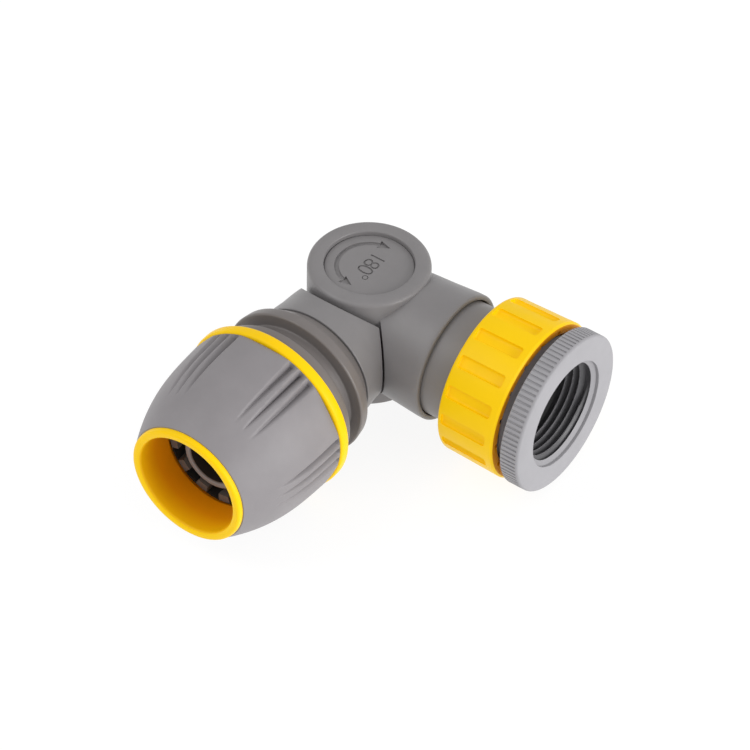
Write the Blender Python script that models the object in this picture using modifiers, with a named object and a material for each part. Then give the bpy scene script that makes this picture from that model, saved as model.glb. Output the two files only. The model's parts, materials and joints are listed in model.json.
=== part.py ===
import math

import bmesh
import bpy
from mathutils import Matrix

# A garden hose coupler with an elbow that swivels through 180 degrees. The tap arm points along +X and the
# hose arm along -Y. The swivel axis is world Z, and the hub's flat base lies at the origin. Lengths along an
# arm are reaches from the swivel axis. All sizes are in metres.

RUNNING_GAP = 0.0003
SEAL_GAP = 0.00015

# Swivel hub, shared by the two elbow halves
HUB_RADIUS = 0.01485
HUB_HALF_HEIGHT = 0.01665
HUB_EDGE_ROUND = 0.0011
SEAM_GAP = 0.0003
MITRE_GAP = 0.0003
SWEEP_GAP = 0.0015
CAP_SEAT_RADIUS = 0.0109
CAP_SEAT_DEPTH = 0.0033
CAP_RECESS = 0.0008
CAP_EDGE_ROUND = 0.0004
CAP_SKIRT_DEPTH = 0.0012
CAP_SKIRT_WALL = 0.0010
CHAMBER_RADIUS = 0.0100
SHELF_THICKNESS = 0.0060
CHAMBER_FLOOR = 0.0030

# Swivel spigot of the hose half, with its seals, washer and clip
SWIVEL_RADIUS = 0.0086
SWIVEL_BORE_RADIUS = 0.0060
SWIVEL_ORING_SECTION = 0.0014
SWIVEL_FIRST_GROOVE = 0.0012
SWIVEL_LAND = 0.0008
SWIVEL_WASHER_THICKNESS = 0.0007
SWIVEL_CLIP_THICKNESS = 0.0010
SWIVEL_CLIP_GRIP = 0.0009
SWIVEL_LIP = 0.0008

# Barrels of the two arms
ARM_ROOT_RADIUS = 0.0150
ARM_THROAT_RADIUS = 0.0159
ARM_THROAT_REACH = 0.0170
SOCKET_REACH = 0.0180
TAP_ARM_RADIUS = 0.0164
TAP_ARM_REACH = 0.0260
TAP_ARM_PARALLEL = 0.0020
TAP_ARM_LIP_ROUND = 0.0009
HOSE_ARM_RADIUS = 0.0165
HOSE_ARM_REACH = 0.0229
TAP_CHANNEL_LEVEL = 0.0096
TAP_CHANNEL_HALF_HEIGHT = 0.0032
TAP_CHANNEL_HALF_WIDTH = 0.0080
HOSE_CHANNEL_LEVEL = 0.0073
HOSE_CHANNEL_HALF_HEIGHT = 0.0043
HOSE_CHANNEL_HALF_WIDTH = 0.0070

# Neck tube of the tap arm
NECK_RADIUS = 0.0148
NECK_BORE_RADIUS = 0.0110
NECK_SHOULDER_REACH = 0.0338
NECK_NOSE_RADIUS = 0.0136
NECK_NOSE_LIP = 0.00155
NECK_ORING_SECTION = 0.0015
NECK_GROOVE_SETBACK = 0.0022
COLLAR_CLIP_THICKNESS = 0.0014
COLLAR_CLIP_RADIUS = 0.0149
COLLAR_CLIP_GRIP = 0.00085
COLLAR_CLIP_OPENING = 0.0040
FACE_WASHER_THICKNESS = 0.0020

# Captive collar nut
COLLAR_LENGTH = 0.0169
COLLAR_BACK_RADIUS = 0.0199
COLLAR_FRONT_RADIUS = 0.0203
COLLAR_EDGE_ROUND = 0.0007
COLLAR_PLATE_THICKNESS = 0.0025
COLLAR_THREAD_RADIUS = 0.01605
COLLAR_MOUTH_RADIUS = 0.0190
COLLAR_MOUTH_DEPTH = 0.0016
POCKET_COUNT = 16
POCKET_FIRST_ANGLE = math.radians(18.5)
POCKET_WIDTH = 0.0032
POCKET_DEPTH = 0.0010
POCKET_SETBACK = 0.0011
POCKET_LENGTH = 0.0126
POCKET_CORNER_RADIUS = 0.0007

# Thread adaptor and its washer
ADAPTER_BARREL_LENGTH = 0.0104
ADAPTER_RIM_LENGTH = 0.0043
ADAPTER_RIM_RADIUS = 0.0204
ADAPTER_RIM_BEVEL = 0.0008
ADAPTER_FLOOR_THICKNESS = 0.0030
ADAPTER_FLOOR_HOLE_RADIUS = 0.0095
ADAPTER_THREAD_RADIUS = 0.0129
ADAPTER_LEAD_STEP = 0.0007
ADAPTER_LEAD_DEPTH = 0.0019
RIB_COUNT = 96
RIB_DEPTH = 0.00045
RIB_END_SETBACK = 0.0009
TAP_WASHER_THICKNESS = 0.0020
TAP_WASHER_HOLE_RADIUS = 0.0090

# Hose stem
STEM_SPIGOT_RADIUS = 0.0130
STEM_ORING_SECTION = 0.0015
STEM_GROOVE_SETBACK = 0.0012
STEM_BORE_RADIUS = 0.0090
TAIL_BORE_RADIUS = 0.0061
TAIL_BORE_REACH = 0.0430
FLANGE_GAP = 0.0002
FLANGE_BACK_RADIUS = 0.0169
FLANGE_CORNER_RADIUS = 0.0193
FLANGE_CORNER_REACH = 0.0270
FLANGE_RADIUS = 0.01975
FLANGE_REACH = 0.0299
STEM_CORE_RADIUS = 0.01635
STEM_COLLAR_RADIUS = 0.0199
STEM_COLLAR_REACH = 0.0345
STEM_COLLAR_THICKNESS = 0.0031
STEM_EDGE_ROUND = 0.0005
SLEEVE_RADIUS = 0.0169
SLEEVE_WALL = 0.0030
SLEEVE_END_REACH = 0.0505
WEB_FRONT_REACH = 0.0430
TAIL_ROOT_RADIUS = 0.0083
TAIL_BARB_RADIUS = 0.0092
TAIL_TIP_RADIUS = 0.0076
TAIL_TIP_REACH = 0.0648
BARB_COUNT = 3
BARB_PITCH = 0.0050

# Collet
COLLET_RING_THICKNESS = 0.0022
COLLET_RING_BORE_RADIUS = 0.0136
JAW_COUNT = 12
JAW_FIRST_ANGLE = math.radians(11)
JAW_BORE_RADIUS = 0.0127
JAW_SLOT_WIDTH = 0.0027

# Hose nut: yellow core and grey grip
NUT_BACK_GAP = 0.0007
NUT_RING_LENGTH = 0.0030
NUT_RING_STEP = 0.0007
NUT_RING_ROUND = 0.0007
NUT_WALL = 0.0014
NUT_CONE_REACH = 0.0520
NUT_CONE_RADIUS = 0.0163
NUT_CONE_END_REACH = 0.0609
NUT_CONE_END_RADIUS = 0.0137
NUT_MOUTH_RADIUS = 0.0133
NUT_MOUTH_WALL = 0.0013
NUT_TAPER_END_REACH = 0.0660
NUT_LIP_REACH = 0.0705
NUT_LIP_RADIUS = 0.0156
NUT_LIP_LENGTH = 0.0015
NUT_LIP_ROUND = 0.0016
GRIP_WALL = 0.0027
GRIP_SHOULDER_DROP = 0.00045
GRIP_SHOULDER_REACH = 0.0540
GRIP_TAPER_WALL = 0.0030
GRIP_TAPER_REACH = 0.0660
GRIP_FRONT_WALL = 0.0010
GROOVE_GROUP_COUNT = 6
GROOVE_SPREAD = math.radians(9)
GROOVE_DEPTH = 0.0015
GROOVE_TIP_DEPTH = 0.0001
GROOVE_END_REACH = 0.0612
GROOVE_STATIONS = 5
PANEL_DISH_DEPTH = 0.0008
PANEL_DISH_HALF_WIDTH = 0.0068
PANEL_DISH_HALF_LENGTH = 0.0048
PANEL_DISH_HALF_HEIGHT = 0.0030

# Facets round a full turn, and helper sizes
OUTER_STEPS = 32
INNER_STEPS = 20
ORING_SIDES = 6
ROUND_STEPS = 2
DISH_STEPS = 16
AXIS_MARK_SIZE = 0.01
CUT_MARGIN = 0.0010
MERGE_DISTANCE = 0.000005
SMOOTH_ANGLE = math.radians(32)

# Places that follow from the sizes above
AXIS_HEIGHT = HUB_HALF_HEIGHT
CAP_SEAT_LEVEL = HUB_HALF_HEIGHT - CAP_SEAT_DEPTH
SHELF_LEVEL = SEAM_GAP / 2 + SHELF_THICKNESS
SHELF_BORE_RADIUS = SWIVEL_RADIUS + RUNNING_GAP
SWIVEL_WASHER_LEVEL = SHELF_LEVEL + RUNNING_GAP
SWIVEL_CLIP_LEVEL = SWIVEL_WASHER_LEVEL + SWIVEL_WASHER_THICKNESS + RUNNING_GAP
SWIVEL_TOP_LEVEL = SWIVEL_CLIP_LEVEL + SWIVEL_CLIP_THICKNESS + SEAL_GAP + SWIVEL_LIP
SWIVEL_GROOVE_WIDTH = SWIVEL_ORING_SECTION + 2 * SEAL_GAP
SWIVEL_SECOND_GROOVE = SWIVEL_FIRST_GROOVE + SWIVEL_GROOVE_WIDTH + SWIVEL_LAND
SPIGOT_START_REACH = SOCKET_REACH + RUNNING_GAP
COLLAR_REACH = NECK_SHOULDER_REACH + RUNNING_GAP
COLLAR_CLIP_REACH = COLLAR_REACH + COLLAR_PLATE_THICKNESS + RUNNING_GAP
NECK_END_REACH = COLLAR_CLIP_REACH + COLLAR_CLIP_THICKNESS + SEAL_GAP + NECK_NOSE_LIP
FACE_WASHER_REACH = NECK_END_REACH + RUNNING_GAP
ADAPTER_REACH = FACE_WASHER_REACH + FACE_WASHER_THICKNESS + RUNNING_GAP
ADAPTER_RIM_REACH = ADAPTER_REACH + ADAPTER_BARREL_LENGTH
ADAPTER_END_REACH = ADAPTER_RIM_REACH + ADAPTER_RIM_LENGTH
TAP_WASHER_REACH = ADAPTER_REACH + ADAPTER_FLOOR_THICKNESS + RUNNING_GAP
FLANGE_START_REACH = HOSE_ARM_REACH + FLANGE_GAP
NUT_REACH = STEM_COLLAR_REACH + STEM_COLLAR_THICKNESS + NUT_BACK_GAP
NUT_THREAD_RADIUS = SLEEVE_RADIUS + RUNNING_GAP
NUT_CORE_RADIUS = NUT_THREAD_RADIUS + NUT_WALL
GRIP_REACH = NUT_REACH + NUT_RING_LENGTH + RUNNING_GAP
GRIP_BORE_RADIUS = NUT_CORE_RADIUS + RUNNING_GAP
GRIP_BACK_RADIUS = GRIP_BORE_RADIUS + GRIP_WALL
GRIP_SHOULDER_RADIUS = GRIP_BACK_RADIUS - GRIP_SHOULDER_DROP
GRIP_MOUTH_RADIUS = NUT_MOUTH_RADIUS + NUT_MOUTH_WALL + RUNNING_GAP
GRIP_TAPER_RADIUS = GRIP_MOUTH_RADIUS + GRIP_TAPER_WALL
GRIP_FRONT_RADIUS = GRIP_MOUTH_RADIUS + GRIP_FRONT_WALL
NUT_RING_RADIUS = GRIP_BACK_RADIUS + NUT_RING_STEP
COLLET_REACH = SLEEVE_END_REACH + RUNNING_GAP
COLLET_END_REACH = NUT_CONE_END_REACH - RUNNING_GAP

BODY_GREY = (0.225, 0.215, 0.218)
STEM_GREY = (0.235, 0.222, 0.215)
GRIP_GREY = (0.262, 0.246, 0.255)
ADAPTER_GREY = (0.515, 0.504, 0.539)
JAW_GREY = (0.160, 0.150, 0.145)
NUT_YELLOW = (1.0, 0.60, 0.002)
SEAL_BLACK = (0.02, 0.02, 0.02)
CLIP_WHITE = (0.72, 0.72, 0.70)


def clear_scene():
    for obj in list(bpy.data.objects):
        bpy.data.objects.remove(obj, do_unlink=True)


def new_collection(name):
    collection = bpy.data.collections.new(name)
    bpy.context.scene.collection.children.link(collection)
    return collection


def new_part(name, mesh):
    obj = bpy.data.objects.new(name, mesh)
    bpy.data.collections["hose_elbow_coupler"].objects.link(obj)
    return obj


def as_cutter(obj):
    bpy.data.collections["hose_elbow_coupler"].objects.unlink(obj)
    bpy.data.collections["cutters"].objects.link(obj)
    obj.hide_render = True
    obj.display_type = "WIRE"
    return obj


def new_frame(name, height, turn_x, turn_y):
    frame = bpy.data.objects.new(name, None)
    frame.empty_display_size = AXIS_MARK_SIZE
    frame.location = (0, 0, height)
    frame.rotation_euler = (turn_x, turn_y, 0)
    bpy.data.collections["hose_elbow_coupler"].objects.link(frame)
    return frame


def apply_modifiers(obj):
    graph = bpy.context.evaluated_depsgraph_get()
    mesh = bpy.data.meshes.new_from_object(obj.evaluated_get(graph))
    rough = obj.data
    obj.modifiers.clear()
    obj.data = mesh
    bpy.data.meshes.remove(rough)
    mesh.name = obj.name
    return obj


# The outline's points are (radius, height). It runs down the outer side and up the inner side. An outline
# that starts and ends on the axis makes a solid piece, and any other one closes into a ring.
def turned(name, outline, steps):
    mesh = bpy.data.meshes.new(name)
    edges = [(index, index + 1) for index in range(len(outline) - 1)]
    if outline[0][0] > 0:
        edges.append((len(outline) - 1, 0))
    mesh.from_pydata([(radius, 0, height) for radius, height in outline], edges, [])
    obj = new_part(name, mesh)
    screw = obj.modifiers.new("turn", "SCREW")
    screw.axis = "Z"
    screw.angle = 2 * math.pi
    screw.steps = steps
    screw.render_steps = steps
    screw.use_merge_vertices = True
    screw.merge_threshold = MERGE_DISTANCE
    return apply_modifiers(obj)


def disc(name, radius, low, high, steps):
    return turned(name, [(0, high), (radius, high), (radius, low), (0, low)], steps)


def ring(name, inner_radius, outer_radius, low, high, steps):
    outline = [(outer_radius, high), (outer_radius, low), (inner_radius, low), (inner_radius, high)]
    return turned(name, outline, steps)


def box(name, low, high):
    size = [high[axis] - low[axis] for axis in range(3)]
    middle = [(high[axis] + low[axis]) / 2 for axis in range(3)]
    shape = bmesh.new()
    place = Matrix.Translation(middle) @ Matrix.Diagonal((*size, 1))
    bmesh.ops.create_cube(shape, size=1, matrix=place)
    return from_bmesh(name, shape)


def from_bmesh(name, shape):
    mesh = bpy.data.meshes.new(name)
    shape.to_mesh(mesh)
    shape.free()
    return new_part(name, mesh)


def combine(obj, other, operation):
    boolean = obj.modifiers.new(operation.lower(), "BOOLEAN")
    boolean.operation = operation
    boolean.solver = "EXACT"
    boolean.object = as_cutter(other)
    return apply_modifiers(obj)


def cut(obj, other):
    return combine(obj, other, "DIFFERENCE")


def join(obj, other):
    return combine(obj, other, "UNION")


# Copies of one pattern, equally spaced round the local Z axis, as one object.
def around(name, pattern, count, first_angle):
    shape = bmesh.new()
    for index in range(count):
        first = len(shape.verts)
        shape.from_mesh(pattern.data)
        shape.verts.ensure_lookup_table()
        turn = Matrix.Rotation(first_angle + index * 2 * math.pi / count, 4, "Z")
        bmesh.ops.transform(shape, matrix=turn, verts=shape.verts[first:])
    bpy.data.objects.remove(pattern, do_unlink=True)
    return from_bmesh(name, shape)


# Points of an elliptical arc from one angle to another, in (radius, height), with both ends.
def arc(centre, across, along, start, end, steps=ROUND_STEPS):
    points = []
    for index in range(steps + 1):
        angle = math.radians(start + (end - start) * index / steps)
        points.append((centre[0] + across * math.cos(angle), centre[1] + along * math.sin(angle)))
    return points


# The rounded top edge and bottom edge of an outer side, in the outline's order.
def round_top(radius, height, size):
    return arc((radius - size, height - size), size, size, 90, 0)


def round_bottom(radius, height, size):
    return arc((radius - size, height + size), size, size, 0, -90)


# An outer groove, in the outline's order, from its upper edge to its lower one.
def groove(radius, floor_radius, low, high):
    return [(radius, high), (floor_radius, high), (floor_radius, low), (radius, low)]


def finish(obj, parent, colour, roughness):
    material = bpy.data.materials.new(obj.name)
    material.use_nodes = True
    shader = material.node_tree.nodes["Principled BSDF"]
    shader.inputs["Base Color"].default_value = (*colour, 1)
    shader.inputs["Roughness"].default_value = roughness
    shader.inputs["Metallic"].default_value = 0
    obj.data.materials.clear()
    obj.data.materials.append(material)
    obj.data.shade_smooth()
    obj.data.set_sharp_from_angle(angle=SMOOTH_ANGLE)
    obj.parent = parent
    return obj


# O-ring of round section between a groove's floor and the bore round it.
def oring(name, bore_radius, section, middle, parent):
    centre_radius = bore_radius - SEAL_GAP - section / 2
    outline = arc((centre_radius, middle), section / 2, section / 2, 90, -270, ORING_SIDES)[:-1]
    obj = turned(name, outline, INNER_STEPS)
    return finish(obj, parent, SEAL_BLACK, 0.6)


# An elbow half lies along local +X with its half hub on the +Z side. Its barrel ends in a mitred point on
# the swivel axis, and its other side is hollowed to clear the other half's hub.
def elbow_half(name, barrel_outline, channel):
    half = turned(name, barrel_outline, OUTER_STEPS)
    half.data.transform(Matrix.Rotation(math.pi / 2, 4, "Y"))
    combine(half, mitre_wedge(name), "INTERSECT")
    sweep_radius = HUB_RADIUS + SWEEP_GAP
    sweep = disc(name + "_sweep", sweep_radius, -ARM_THROAT_RADIUS - CUT_MARGIN, SEAM_GAP / 2, OUTER_STEPS)
    cut(half, sweep)
    join(half, half_hub(name))
    level, half_height, half_width = channel
    waterway = disc(name + "_channel", 1, 0, SOCKET_REACH + CUT_MARGIN, INNER_STEPS)
    waterway.data.transform(Matrix.Diagonal((half_height, half_width, 1, 1)))
    waterway.data.transform(Matrix.Rotation(math.pi / 2, 4, "Y"))
    waterway.data.transform(Matrix.Translation((0, 0, level)))
    return cut(half, waterway)


# A square prism with one edge beside the swivel axis, so that two of its faces are the mitre's.
def mitre_wedge(name):
    side = 2 * TAP_ARM_REACH
    wedge = box(name + "_mitre", (0, 0, -side), (side, side, side))
    wedge.data.transform(Matrix.Rotation(-math.pi / 4, 4, "Z"))
    wedge.data.transform(Matrix.Translation((MITRE_GAP / 2 * math.sqrt(2), 0, 0)))
    return wedge


def half_hub(name):
    outline = [(0, HUB_HALF_HEIGHT)]
    outline += round_top(HUB_RADIUS, HUB_HALF_HEIGHT, HUB_EDGE_ROUND)
    outline += [(HUB_RADIUS, SEAM_GAP / 2), (0, SEAM_GAP / 2)]
    return turned(name + "_hub", outline, OUTER_STEPS)


# The cap seat and the chamber below it, down to the floor of the chamber and the bore in it.
def hub_cavity(name, floor_level, bore_radius, bore_end):
    top = HUB_HALF_HEIGHT + CUT_MARGIN
    outline = [
        (0, top),
        (CAP_SEAT_RADIUS, top),
        (CAP_SEAT_RADIUS, CAP_SEAT_LEVEL),
        (CHAMBER_RADIUS, CAP_SEAT_LEVEL),
        (CHAMBER_RADIUS, floor_level),
        (bore_radius, floor_level),
        (bore_radius, bore_end),
        (0, bore_end),
    ]
    return turned(name, outline, OUTER_STEPS)


def make_tap_arm_body(parent):
    socket_radius = NECK_RADIUS + RUNNING_GAP
    barrel = [(0, SOCKET_REACH), (socket_radius, SOCKET_REACH), (socket_radius, TAP_ARM_REACH)]
    barrel += round_top(TAP_ARM_RADIUS, TAP_ARM_REACH, TAP_ARM_LIP_ROUND)
    barrel.append((TAP_ARM_RADIUS, TAP_ARM_REACH - TAP_ARM_PARALLEL))
    barrel.append((ARM_THROAT_RADIUS, ARM_THROAT_REACH))
    barrel += [(ARM_ROOT_RADIUS, 0), (0, 0)]
    channel = (TAP_CHANNEL_LEVEL, TAP_CHANNEL_HALF_HEIGHT, TAP_CHANNEL_HALF_WIDTH)
    body = elbow_half("tap_arm_body", barrel, channel)
    cut(body, hub_cavity("tap_hub_cavity", SHELF_LEVEL, SHELF_BORE_RADIUS, -CUT_MARGIN))
    return finish(body, parent, BODY_GREY, 0.42)


def make_hose_arm_body(parent):
    socket_radius = STEM_SPIGOT_RADIUS + RUNNING_GAP
    barrel = [(0, SOCKET_REACH), (socket_radius, SOCKET_REACH), (socket_radius, HOSE_ARM_REACH)]
    barrel.append((HOSE_ARM_RADIUS, HOSE_ARM_REACH))
    barrel.append((ARM_THROAT_RADIUS, ARM_THROAT_REACH))
    barrel += [(ARM_ROOT_RADIUS, 0), (0, 0)]
    channel = (HOSE_CHANNEL_LEVEL, HOSE_CHANNEL_HALF_HEIGHT, HOSE_CHANNEL_HALF_WIDTH)
    body = elbow_half("hose_arm_body", barrel, channel)
    join(body, swivel_spigot())
    bore_end = -SWIVEL_TOP_LEVEL - CUT_MARGIN
    cut(body, hub_cavity("hose_hub_cavity", CHAMBER_FLOOR, SWIVEL_BORE_RADIUS, bore_end))
    body.rotation_euler = (math.pi, 0, -math.pi / 2)
    return finish(body, parent, BODY_GREY, 0.42)


# The spigot stands on the hose half's hub, towards local -Z, and is bored with the hub's cavity.
def swivel_spigot():
    clip_low = SWIVEL_CLIP_LEVEL - SEAL_GAP
    clip_high = SWIVEL_CLIP_LEVEL + SWIVEL_CLIP_THICKNESS + SEAL_GAP
    floor_radius = SHELF_BORE_RADIUS - SWIVEL_ORING_SECTION - 2 * SEAL_GAP
    outline = [(0, -CHAMBER_FLOOR / 2), (SWIVEL_RADIUS, -CHAMBER_FLOOR / 2)]
    for start in (SWIVEL_FIRST_GROOVE, SWIVEL_SECOND_GROOVE):
        outline += reversed(groove(SWIVEL_RADIUS, floor_radius, start, start + SWIVEL_GROOVE_WIDTH))
    outline += reversed(groove(SWIVEL_RADIUS, SWIVEL_RADIUS - SWIVEL_CLIP_GRIP, clip_low, clip_high))
    outline += [(SWIVEL_RADIUS, SWIVEL_TOP_LEVEL), (0, SWIVEL_TOP_LEVEL)]
    return turned("swivel_spigot", [(radius, -level) for radius, level in outline], OUTER_STEPS)


# A cap is a disc on the seat with a skirt in the chamber.
def cap(name, face_level):
    seat_level = CAP_SEAT_LEVEL + RUNNING_GAP
    skirt_radius = CHAMBER_RADIUS - RUNNING_GAP
    skirt_level = CAP_SEAT_LEVEL - CAP_SKIRT_DEPTH
    outline = [(0, face_level)]
    outline += round_top(CAP_SEAT_RADIUS - RUNNING_GAP, face_level, CAP_EDGE_ROUND)
    outline += [(CAP_SEAT_RADIUS - RUNNING_GAP, seat_level), (skirt_radius, seat_level)]
    outline += [(skirt_radius, skirt_level), (skirt_radius - CAP_SKIRT_WALL, skirt_level)]
    outline += [(skirt_radius - CAP_SKIRT_WALL, seat_level), (0, seat_level)]
    return turned(name, outline, OUTER_STEPS)


def make_hub_cap(parent):
    return finish(cap("hub_cap", HUB_HALF_HEIGHT - CAP_RECESS), parent, BODY_GREY, 0.38)


def make_base_cap(parent):
    obj = cap("base_cap", HUB_HALF_HEIGHT)
    obj.rotation_euler = (math.pi, 0, 0)
    return finish(obj, parent, BODY_GREY, 0.42)


def make_swivel_oring(name, groove_start, parent):
    middle = groove_start + SWIVEL_GROOVE_WIDTH / 2
    return oring(name, SHELF_BORE_RADIUS, SWIVEL_ORING_SECTION, middle, parent)


def make_swivel_washer(parent):
    high = SWIVEL_WASHER_LEVEL + SWIVEL_WASHER_THICKNESS
    outer = CHAMBER_RADIUS - RUNNING_GAP
    obj = ring("swivel_washer", SHELF_BORE_RADIUS, outer, SWIVEL_WASHER_LEVEL, high, INNER_STEPS)
    return finish(obj, parent, CLIP_WHITE, 0.4)


# A split ring, open on its -X side.
def split_ring(name, inner_radius, outer_radius, low, high, opening, parent):
    obj = ring(name, inner_radius, outer_radius, low, high, INNER_STEPS)
    half = opening / 2
    gap_low = (-outer_radius - CUT_MARGIN, -half, low - CUT_MARGIN)
    cut(obj, box(name + "_opening", gap_low, (0, half, high + CUT_MARGIN)))
    return finish(obj, parent, CLIP_WHITE, 0.4)


def make_swivel_clip(parent):
    inner = SWIVEL_RADIUS - SWIVEL_CLIP_GRIP + SEAL_GAP
    outer = CHAMBER_RADIUS - RUNNING_GAP
    high = SWIVEL_CLIP_LEVEL + SWIVEL_CLIP_THICKNESS
    return split_ring("swivel_clip", inner, outer, SWIVEL_CLIP_LEVEL, high, COLLAR_CLIP_OPENING, parent)


def make_tap_spigot(parent):
    clip_high = COLLAR_CLIP_REACH + COLLAR_CLIP_THICKNESS + SEAL_GAP
    clip_floor = NECK_NOSE_RADIUS - COLLAR_CLIP_GRIP - SEAL_GAP
    groove_low = SPIGOT_START_REACH + NECK_GROOVE_SETBACK
    groove_high = groove_low + NECK_ORING_SECTION + 2 * SEAL_GAP
    groove_floor = NECK_RADIUS + RUNNING_GAP - NECK_ORING_SECTION - 2 * SEAL_GAP
    outline = [(NECK_NOSE_RADIUS, NECK_END_REACH)]
    outline += groove(NECK_NOSE_RADIUS, clip_floor, COLLAR_CLIP_REACH - SEAL_GAP, clip_high)
    outline += [(NECK_NOSE_RADIUS, NECK_SHOULDER_REACH), (NECK_RADIUS, NECK_SHOULDER_REACH)]
    outline += groove(NECK_RADIUS, groove_floor, groove_low, groove_high)
    outline += [(NECK_RADIUS, SPIGOT_START_REACH), (NECK_BORE_RADIUS, SPIGOT_START_REACH)]
    outline.append((NECK_BORE_RADIUS, NECK_END_REACH))
    return finish(turned("tap_spigot", outline, OUTER_STEPS), parent, BODY_GREY, 0.42)


def make_spigot_oring(parent):
    middle = SPIGOT_START_REACH + NECK_GROOVE_SETBACK + SEAL_GAP + NECK_ORING_SECTION / 2
    return oring("spigot_oring", NECK_RADIUS + RUNNING_GAP, NECK_ORING_SECTION, middle, parent)


def make_collar_clip(parent):
    inner = NECK_NOSE_RADIUS - COLLAR_CLIP_GRIP
    high = COLLAR_CLIP_REACH + COLLAR_CLIP_THICKNESS
    low = COLLAR_CLIP_REACH
    return split_ring("collar_clip", inner, COLLAR_CLIP_RADIUS, low, high, COLLAR_CLIP_OPENING, parent)


def make_face_washer(parent):
    high = FACE_WASHER_REACH + FACE_WASHER_THICKNESS
    inner = NECK_BORE_RADIUS
    obj = ring("face_washer", inner, COLLAR_CLIP_RADIUS, FACE_WASHER_REACH, high, INNER_STEPS)
    return finish(obj, parent, SEAL_BLACK, 0.6)


def make_collar_nut(parent):
    end = COLLAR_REACH + COLLAR_LENGTH
    plate_end = COLLAR_REACH + COLLAR_PLATE_THICKNESS
    hole_radius = NECK_NOSE_RADIUS + RUNNING_GAP
    outline = round_top(COLLAR_FRONT_RADIUS, end, COLLAR_EDGE_ROUND)
    outline += round_bottom(COLLAR_BACK_RADIUS, COLLAR_REACH, COLLAR_EDGE_ROUND)
    outline += [(hole_radius, COLLAR_REACH), (hole_radius, plate_end), (COLLAR_THREAD_RADIUS, plate_end)]
    outline += [(COLLAR_THREAD_RADIUS, end - COLLAR_MOUTH_DEPTH), (COLLAR_MOUTH_RADIUS, end)]
    nut = turned("collar_nut", outline, OUTER_STEPS)
    pockets = around("collar_pockets", collar_pocket(), POCKET_COUNT, POCKET_FIRST_ANGLE + math.pi / 2)
    cut(nut, pockets)
    return finish(nut, parent, NUT_YELLOW, 0.35)


# One pocket at local +X: a rectangle with rounded corners and a flat floor.
def collar_pocket():
    half = POCKET_WIDTH / 2
    start = COLLAR_REACH + POCKET_SETBACK
    corner_high = start + POCKET_LENGTH - POCKET_CORNER_RADIUS
    corner_low = start + POCKET_CORNER_RADIUS
    corner_across = half - POCKET_CORNER_RADIUS
    slope = (COLLAR_FRONT_RADIUS - COLLAR_BACK_RADIUS) / COLLAR_LENGTH
    floor_start = COLLAR_BACK_RADIUS + slope * POCKET_SETBACK - POCKET_DEPTH
    curve = bpy.data.curves.new("pocket", "CURVE")
    curve.dimensions = "2D"
    curve.fill_mode = "BOTH"
    curve.extrude = POCKET_DEPTH
    line = curve.splines.new("POLY")
    points = []
    corners = ((corner_across, corner_high), (-corner_across, corner_high))
    corners += ((-corner_across, corner_low), (corner_across, corner_low))
    for index, corner in enumerate(corners):
        first = 90 * index
        points += arc(corner, POCKET_CORNER_RADIUS, POCKET_CORNER_RADIUS, first, first + 90)
    line.points.add(len(points) - 1)
    for point, (across, along) in zip(line.points, points):
        point.co = (across, along, 0, 1)
    line.use_cyclic_u = True
    pocket = solid_from_curve("pocket", curve)
    stand_up = Matrix(((0, 0, 1, 0), (1, 0, 0, 0), (0, 1, 0, 0), (0, 0, 0, 1)))
    pocket.data.transform(stand_up)
    lean = Matrix.Rotation(math.atan(slope), 4, "Y")
    place = Matrix.Translation((floor_start + POCKET_DEPTH, 0, start))
    pocket.data.transform(place @ lean @ Matrix.Translation((0, 0, -start)))
    return pocket


# A closed mesh made from a filled curve, whose caps are welded.
def solid_from_curve(name, curve):
    guide = bpy.data.objects.new(name + "_guide", curve)
    bpy.data.collections["cutters"].objects.link(guide)
    graph = bpy.context.evaluated_depsgraph_get()
    mesh = bpy.data.meshes.new_from_object(guide.evaluated_get(graph))
    bpy.data.objects.remove(guide, do_unlink=True)
    shape = bmesh.new()
    shape.from_mesh(mesh)
    bmesh.ops.remove_doubles(shape, verts=shape.verts, dist=MERGE_DISTANCE)
    bmesh.ops.recalc_face_normals(shape, faces=shape.faces)
    return from_bmesh(name, shape)


def make_thread_adapter(parent):
    floor_end = ADAPTER_REACH + ADAPTER_FLOOR_THICKNESS
    barrel_radius = COLLAR_THREAD_RADIUS - RUNNING_GAP
    lead_radius = ADAPTER_THREAD_RADIUS + ADAPTER_LEAD_STEP
    lead_floor = ADAPTER_END_REACH - ADAPTER_LEAD_DEPTH
    outline = [(ADAPTER_RIM_RADIUS - ADAPTER_RIM_BEVEL, ADAPTER_END_REACH)]
    outline.append((ADAPTER_RIM_RADIUS, ADAPTER_END_REACH - ADAPTER_RIM_BEVEL))
    outline += [(ADAPTER_RIM_RADIUS, ADAPTER_RIM_REACH), (barrel_radius, ADAPTER_RIM_REACH)]
    outline += [(barrel_radius, ADAPTER_REACH), (ADAPTER_FLOOR_HOLE_RADIUS, ADAPTER_REACH)]
    outline += [(ADAPTER_FLOOR_HOLE_RADIUS, floor_end), (ADAPTER_THREAD_RADIUS, floor_end)]
    outline.append((ADAPTER_THREAD_RADIUS, lead_floor - ADAPTER_LEAD_STEP))
    outline += [(lead_radius, lead_floor), (lead_radius, ADAPTER_END_REACH)]
    adapter = turned("thread_adapter", outline, OUTER_STEPS)
    cut(adapter, around("rib_gaps", rib_gap(), RIB_COUNT, math.pi / RIB_COUNT))
    return finish(adapter, parent, ADAPTER_GREY, 0.4)


# A square bar laid on one edge cuts the V between two ribs at local +X.
def rib_gap():
    half = RIB_DEPTH / math.sqrt(2)
    low = (-half, -half, ADAPTER_RIM_REACH - CUT_MARGIN)
    gap = box("rib_gap", low, (half, half, ADAPTER_END_REACH - RIB_END_SETBACK))
    gap.data.transform(Matrix.Rotation(math.pi / 4, 4, "Z"))
    gap.data.transform(Matrix.Translation((ADAPTER_RIM_RADIUS, 0, 0)))
    return gap


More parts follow.
